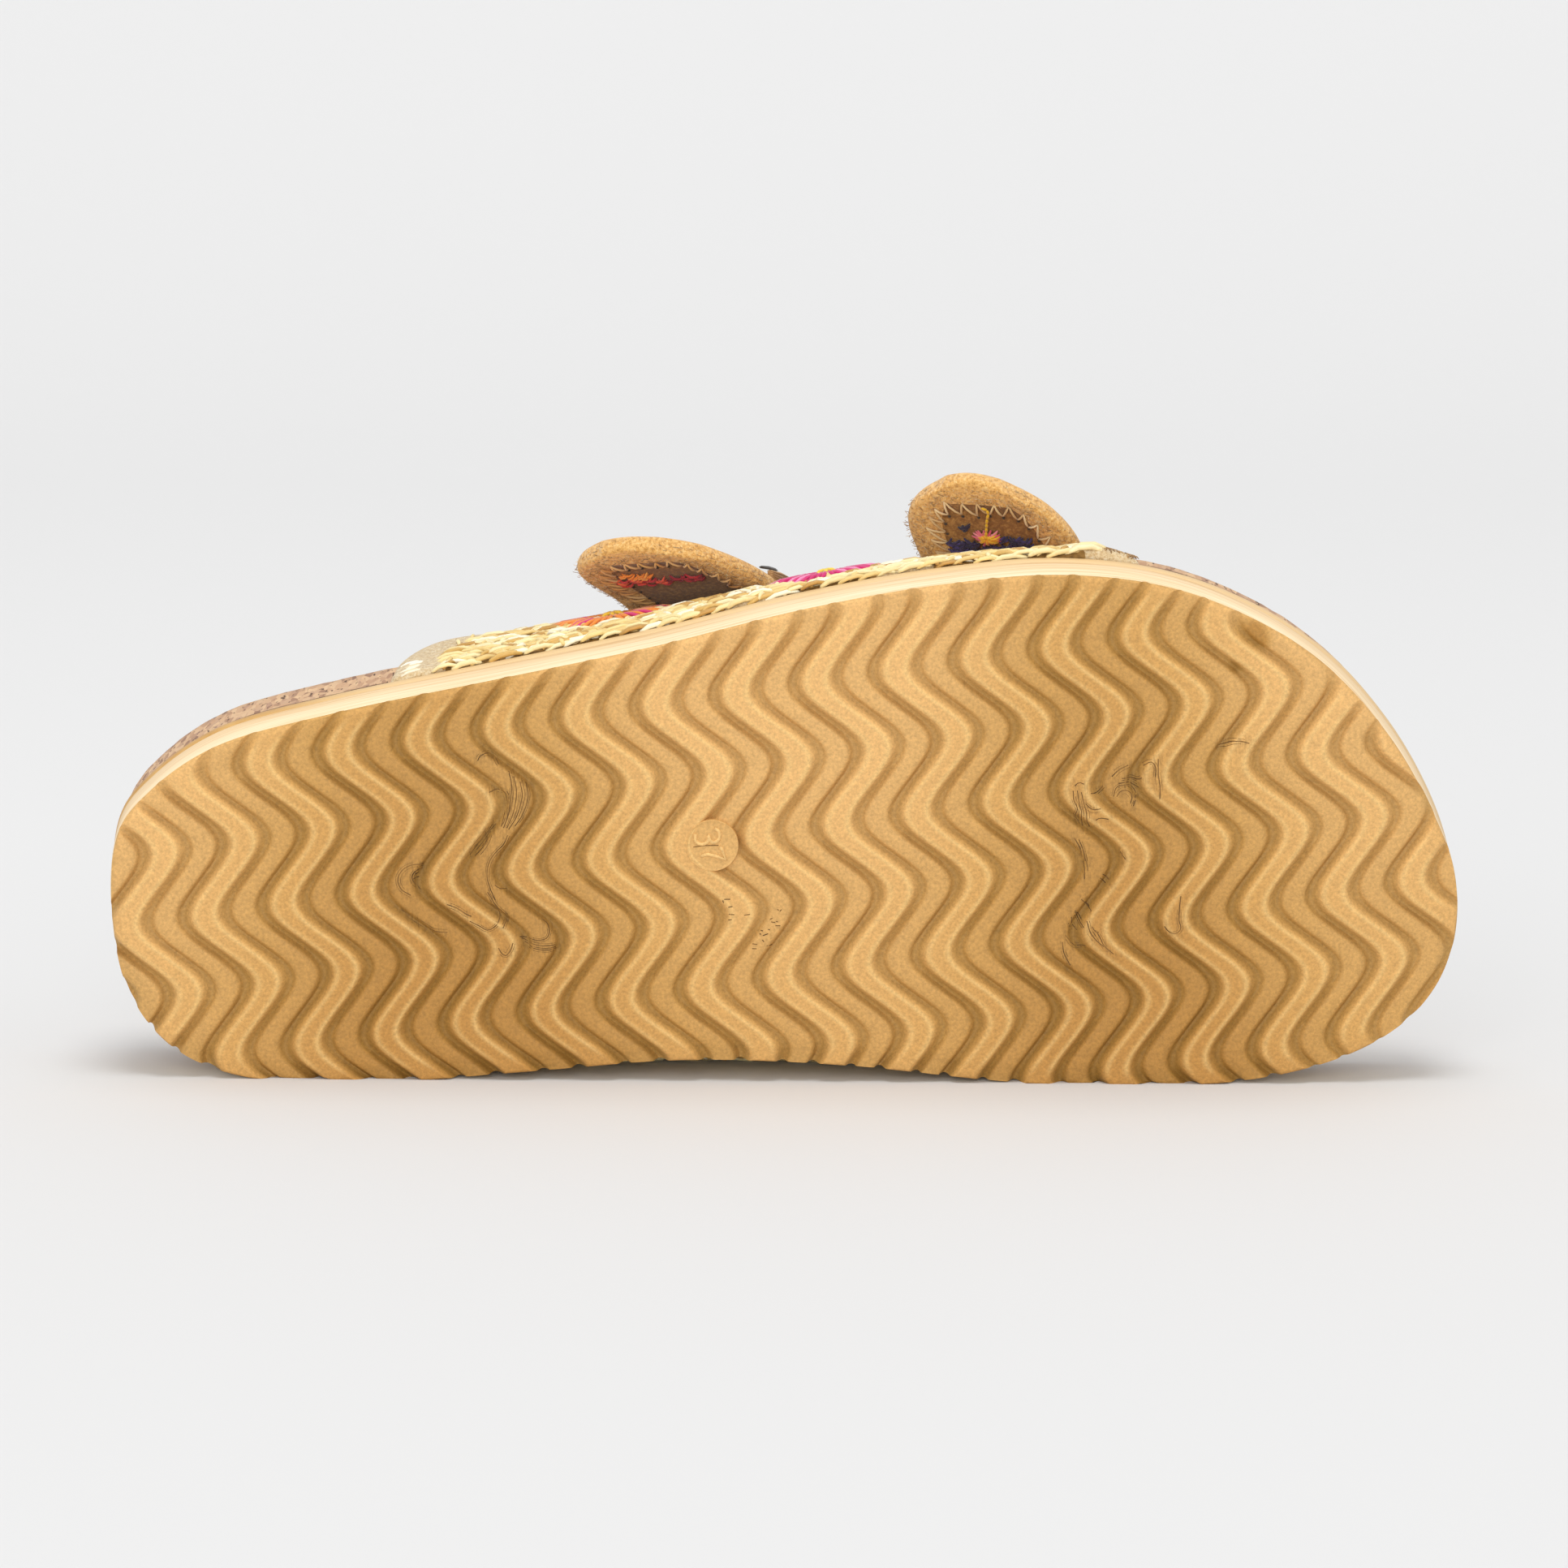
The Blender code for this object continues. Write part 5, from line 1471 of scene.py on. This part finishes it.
def footbedSide(angle, side, height):
    along = alongAt(angle)
    x, y = ringPoint(angle if side == "lateral" else 2 * math.pi - angle, -footbed["inset"])
    layout = upper["quarter"] if side == "lateral" else upper["straps"]
    rise = np.clip((height - foamTop(along)) / upper["girthMm"], 0.0, 0.2)
    back, front = (column(layout, k, rise if side == "lateral" else 1 - rise) for k in (1, 4))
    start, full = footbed["cover"]
    covered = ease(back - start, back - full, along) * (1 - ease(front + full, front + start, along))
    if covered == 0.0:
        return x, y
    points = lastSection(along)[0]
    count = upper["sectionPoints"]
    half = points[:count] if side == "lateral" else points[:count - 2:-1]
    sign = -1 if side == "lateral" else 1
    inner = np.interp(height, half[:, 1], half[:, 0]) - sign * (upper["binding"] / 2 + footbed["clear"])
    if side == "medial":
        inner = min(inner, floorY(along, height) - upper["binding"])
    return x, y + (inner - y) * covered


def footbedTop(angle, share):
    along = alongAt(angle)
    x0, y0 = footbedSide(angle, "lateral", footbedRim(along, 0) - footbed["rimRound"])
    x1, y1 = footbedSide(angle, "medial", footbedRim(along, 1) - footbed["rimRound"])
    reach = min(min(share, 1 - share) * (y1 - y0), along, shoe["length"] - along)
    hollow = column(footbed["rim"], 3, along) * ease(0.0, footbed["hollowRun"], reach)
    corner = footbed["rimRound"] * (1 - min(min(share, 1 - share) / footbed["corner"], 1.0)) ** 2
    return x0 + (x1 - x0) * share, y0 + (y1 - y0) * share, footbedRim(along, share) - hollow - corner


def corkGranules():
    # pressed cork: rounded granules of 1 to 3 mm, pinkish tan with dark flecks of bark
    material, tree, shader = newMaterial("pressed cork granules")
    spot = shoeCoordinates(tree)
    flat = addNode(tree, "ShaderNodeMapping", {"Scale": (1.0, 1.0, 0.4)}, {"Vector": spot})
    grain = addNode(tree, "ShaderNodeTexVoronoi", {"Scale": 1 / (1.1 * mm)},
                    {"Vector": flat.outputs["Vector"]})
    tint = addNode(tree, "ShaderNodeValToRGB", {}, {"Fac": grain.outputs["Color"]},
                   ((0.1, "#94705A"), (0.35, "#C29A78"), (0.6, "#DAB68E"), (0.9, "#B48E74")))
    fleck = addNode(tree, "ShaderNodeTexNoise", {"Scale": 1 / (0.9 * mm), "Detail": 3.0},
                    {"Vector": flat.outputs["Vector"]})
    bark = addNode(tree, "ShaderNodeValToRGB", {}, {"Fac": fleck.outputs["Fac"]}, ((0.6, 0.0), (0.68, 1.0)))
    mixed = addNode(tree, "ShaderNodeMix", {"data_type": "RGBA", 7: linear("#5E4534")},
                    {"Factor": bark.outputs["Color"], 6: tint.outputs["Color"]})
    # painted shadow: a broken dark band on the cork just above the foam's lip
    lipShadow = addNode(tree, "ShaderNodeAttribute", {"attribute_name": "lipShadow"}).outputs["Fac"]
    gap = addNode(tree, "ShaderNodeTexNoise", {"Scale": 1 / (5 * mm), "Detail": 2.0}, {"Vector": spot})
    broken = addNode(tree, "ShaderNodeValToRGB", {}, {"Fac": gap.outputs["Fac"]}, ((0.4, 0.5), (0.55, 0.9)))
    share = addNode(tree, "ShaderNodeMath", {"operation": "MULTIPLY"},
                    {0: lipShadow, 1: broken.outputs["Color"]})
    lipShadowed = addNode(tree, "ShaderNodeMix", {"data_type": "RGBA", 7: linear("#54381F")},
                    {"Factor": share.outputs[0], 6: mixed.outputs[2]})
    tree.links.new(lipShadowed.outputs[2], shader.inputs["Base Color"])
    shader.inputs["Roughness"].default_value = 0.85
    bumpInto(tree, shader, grain.outputs["Distance"], 0.5, 0.4)
    return material


def buildFootbed():
    angles = np.linspace(footbed["endAngle"], math.pi - footbed["endAngle"], footbed["stations"] + 1)
    around = [("lateral", share) for share in footbed["sideShares"]]
    around += [("top", share) for share in footbed["across"]]
    around += [("medial", share) for share in reversed(footbed["sideShares"])]

    def place(i, j):
        spots = []
        for station, level in zip(i, j):
            kind, value = around[level]
            angle = angles[station]
            if kind == "top":
                spots.append(footbedTop(angle, value))
                continue
            along = alongAt(angle)
            low = foamTop(along) + footbed["seat"]
            high = footbedRim(along, 0 if kind == "lateral" else 1) - footbed["rimRound"]
            z = low + (high - low) * value
            spots.append((*footbedSide(angle, kind, z), z))
        return np.array([[float(k) for k in spot] for spot in spots])

    bm = bmesh.new()
    loft(bm, footbed["stations"], len(around), place)
    bm.normal_update()
    size, rise = footbed["grain"]
    for vert in bm.verts:
        vert.co += vert.normal * (noise.noise(vert.co / (size * mm)) * rise * mm)
    upright = stand([v.co for v in bm.verts])
    mesh = meshFrom(bm, "corkFootbed")
    height = upright[:, 2] - foamTop(upright[:, 0])
    # painted shadow of the foam's lip on the cork
    start, full, thin, end = footbed["lipShadow"]
    paintPoints(mesh, {"lipShadow": ease(start, full, height) * (1 - ease(thin, end, height))})
    floorClamp(mesh)
    keepPiece("corkFootbed", mesh, [corkGranules()], ["footbed"])
    skip = footbed["sockSkip"]
    sockAngles, shares = angles[skip:-skip], footbed["across"][2:-2]
    bm = bmesh.new()
    made, i, j = gridVerts(bm, len(sockAngles) - 1, len(shares) - 1)
    for vert, a, b in zip(made, i, j):
        vert.co = lay([float(k) for k in footbedTop(sockAngles[a], shares[b])])
    bmesh.ops.recalc_face_normals(bm, faces=bm.faces)
    bm.normal_update()
    upward = Vector(layRows[:, 2])
    step = (footbed["sockClear"] + footbed["sockThick"] / 2) * mm
    for vert in bm.verts:
        vert.co += vert.normal * math.copysign(step, vert.normal.dot(upward))
    suede = suedeLining("suede sock", "#9C7648", "#B8905C", "#D0AC78")
    sock = keepPiece("suedeSock", meshFrom(bm, "suedeSock"), [suede], ["insole"])
    thick = sock.modifiers.new("thickness", "SOLIDIFY")
    thick.thickness = footbed["sockThick"] * mm
    thick.offset = 0.0
    print("cork footbed and sock")


# metal buckles
buckle = {
    "radius": 1.3,
    "girths": (0.25, 0.385),   # pivot bar, far bar
    "side": 0.8,
    "squareness": 0.25,
    "farClear": 0.8,
    "pivotRise": 0.1,
    "points": 72,
    "prongRadius": 0.9,
    "prong": (0.29, 0.35, 0.007, 0.395),       # girth of its start and rest, half run over the bar, end
    "prongClear": (0.3, 0.9, 0.3),     # over the wall, for the raffia, over the far bar
}


def antiqueBrass():
    # cast zinc plated and darkened like old brass: dark hollows, rubbed warm edges
    material, tree, shader = newMaterial("darkened brass plating")
    spot = addNode(tree, "ShaderNodeTexCoord").outputs["Object"]
    rub = addNode(tree, "ShaderNodeTexNoise", {"Scale": 1 / (3 * mm), "Detail": 4.0}, {"Vector": spot})
    shade = addNode(tree, "ShaderNodeValToRGB", {}, {"Fac": rub.outputs["Fac"]},
                    ((0.35, "#3A2C1E"), (0.7, "#7C6040")))
    tree.links.new(shade.outputs["Color"], shader.inputs["Base Color"])
    shader.inputs["Metallic"].default_value = 1.0
    shader.inputs["Roughness"].default_value = 0.38
    bumpInto(tree, shader, rub.outputs["Fac"], 0.1, 0.1)
    return material


def buildBuckles():
    metal = antiqueBrass()
    pivot, far = buckle["girths"]
    radius, prongRadius = buckle["radius"], buckle["prongRadius"]
    farLift = strapLift(far) + upper["binding"] / 2 + radius + buckle["farClear"]
    turn = 2 * math.pi * (np.arange(buckle["points"]) + 0.5) / buckle["points"]
    endwise, share = (np.sign(v) * np.abs(v) ** buckle["squareness"] for v in (np.cos(turn), np.sin(turn)))
    lift = buckle["pivotRise"] + (farLift - buckle["pivotRise"]) * (share + 1) / 2
    start, rest, over, end = buckle["prong"]
    wallGap, pile, barGap = buckle["prongClear"]
    clear = upper["wall"] / 2 + wallGap + prongRadius + pile
    high = farLift + radius + prongRadius + barGap
    route = smoothPath(((start, strapLift(start) + clear), (rest, strapLift(rest) + clear + 0.3),
                        (far - over, high), (far + over, high), (end, high - 0.3)), 0.004)
    for name in ("rear", "front"):
        back, front = tails[name][2:]
        middle, half = (back + front) / 2, (front - back) / 2 + radius + buckle["side"]
        ring = onUpper(middle + half * endwise, (pivot + far) / 2 + (far - pivot) / 2 * share, lift)
        bar = wireMesh("buckleFrame", [ring], radius, True, 4)
        keepPiece(f"buckleFrame_{name}", bar, [metal], [f"buckle_{name}"])
        pin = wireMesh("buckleProng", [onUpper(middle, route[:, 0], route[:, 1])], prongRadius, False, 4)
        keepPiece(f"buckleProng_{name}", pin, [metal], [f"prong_{name}"])
    print("buckles")


sole = buildSole()
crack = buildDisc(sole.data.materials[0])
buildCreases(crack)
buildFootbed()
binding = suedeBinding("brushed suede binding", "#9E6C2E", "#E8AE5C", "#FFDA94")
paleBinding = suedeBinding("brushed cotton binding", "#B08C5C", "#DCC090", "#F2E2C0")
# painted shade: the lining is given colours darker than the binding it meets, for the shade under the strap
# ends and inside the upper
lining = suedeLining("split suede lining", "#66401C", "#8A5E2A", "#BA8A4A")
ground = raffiaGround()
buildWall("quarterWall", "upper_quarter", upper["quarter"], upper["quarterNotch"],
          wall["quarterRows"], (), [paleBinding, ground, paleBinding, lining])
buildWall("strapWall", "upper_straps", upper["straps"], upper["strapNotch"],
          wall["strapRows"], wall["tailRows"], [binding, ground, binding, lining])
strandForm = strandTemplate(6, 5)
threadForm = strandTemplate(5, 5)
straw = strandMaterial("dried raffia strand", 0.5, 0.22, 0.1)
thread = strandMaterial("spun cotton thread", 0.7, 0.2, 0.3)
quarterRaffia = raffiaStrands(upper["quarter"], upper["quarterNotch"], False)
strandPiece("raffiaQuarter", quarterRaffia, strandForm, straw)
strapRaffia = raffiaStrands(upper["straps"], upper["strapNotch"], True)
strandPiece("raffiaStraps", strapRaffia, strandForm, straw)
strandPiece("tailStitches", zigzagStrands(), threadForm, thread)
strandPiece("tailNap", napStrands(), strandTemplate(3, 4), thread)
strandPiece("embroidery", embroideryStrands(), threadForm, thread)
buildBuckles()

# studio floor, lights and camera
studio = {
    "target": (0.0, -0.028, 0.045),
    "distance": 1.5,
    "elevation": 9.0,
    "roll": 0.35,
    "lens": 184.2,
    "shiftY": 0.0362,
    "room": ("#F4F4F4", 0.76),     # colour and strength of the light from all round
    "sweep": (-2.2, 1.0, 0.9, 4.6, 8.0),   # front, start and radius of the bend, run of the paper, width
    "sweepCells": (8, 48),
    "lights": (                    # name, place, aim, size, power
        ("keyLight", (0.1, -0.7, 2.3), (0.0, -0.028, 0.045), 1.0, 18.0),
        ("frontFill", (-0.3, -2.3, 0.5), (0.0, -0.028, 0.045), 1.6, 25.0),
        ("sweepLight", (0.0, 0.2, 2.5), (0.0, 1.7, 0.6), 1.8, 13.0)),
}


def paperSweep():
    # matt paper: plain pale grey white, with painted shade darker towards the front, where the lamps light
    # it most
    material, tree, shader = newMaterial("matt paper sweep")
    spot = addNode(tree, "ShaderNodeTexCoord")
    split = addNode(tree, "ShaderNodeSeparateXYZ", {}, {"Vector": spot.outputs["Object"]})
    depth = addNode(tree, "ShaderNodeMapRange", {"From Min": -0.5, "From Max": 1.0},
                    {"Value": split.outputs["Y"]})
    # painted shade: darker paper towards the front
    shade = addNode(tree, "ShaderNodeValToRGB", {}, {"Fac": depth.outputs["Result"]},
                    ((0.0, "#D8D8D8"), (0.3, "#DADADA"), (0.5, "#DFDFDF"), (1.0, "#E3E3E3")))
    tree.links.new(shade.outputs["Color"], shader.inputs["Base Color"])
    shader.inputs["Roughness"].default_value = 0.9
    return material


def buildStudio():
    bm = bmesh.new()
    columns, rows = studio["sweepCells"]
    front, bendStart, radius, length, width = studio["sweep"]
    made, i, j = gridVerts(bm, columns, rows)
    for vert, a, b in zip(made, i, j):
        run = b / rows * length + front
        bend = min(max(run - bendStart, 0.0) / radius, math.pi / 2)
        back = max(run - bendStart - radius * math.pi / 2, 0.0)
        y = min(run, bendStart) + radius * math.sin(bend)
        vert.co = ((a / columns - 0.5) * width, y, radius * (1 - math.cos(bend)) + back)
    sweep = bpy.data.objects.new("paperSweep", meshFrom(bm, "paperSweep"))
    bpy.context.scene.collection.objects.link(sweep)
    sweep.data.materials.append(paperSweep())
    for name, place, aim, size, power in studio["lights"]:
        lamp = bpy.data.lights.new(name, "AREA")
        lamp.shape = "DISK"
        lamp.size = size
        lamp.energy = power
        item = bpy.data.objects.new(name, lamp)
        item.location = place
        item.rotation_euler = (Vector(aim) - Vector(place)).to_track_quat("-Z", "Y").to_euler()
        bpy.context.scene.collection.objects.link(item)
    world = bpy.data.worlds.new("softRoom")
    world.use_nodes = True
    colour, strength = studio["room"]
    world.node_tree.nodes["Background"].inputs["Color"].default_value = linear(colour)
    world.node_tree.nodes["Background"].inputs["Strength"].default_value = strength
    bpy.context.scene.world = world
    bpy.context.scene.view_settings.view_transform = "Standard"
    lens = bpy.data.cameras.new("photoCamera")
    lens.lens = studio["lens"]
    lens.shift_y = studio["shiftY"]
    camera = bpy.data.objects.new("photoCamera", lens)
    tilt = math.radians(studio["elevation"])
    away = Vector((0.0, -math.cos(tilt), math.sin(tilt)))
    camera.location = Vector(studio["target"]) + away * studio["distance"]
    roll = Matrix.Rotation(math.radians(studio["roll"]), 3, "Z")
    turn = Matrix.Rotation(math.pi / 2 - tilt, 3, "X") @ roll
    camera.rotation_euler = turn.to_euler()
    bpy.context.scene.collection.objects.link(camera)
    bpy.context.scene.camera = camera
    print("studio and camera")


buildStudio()
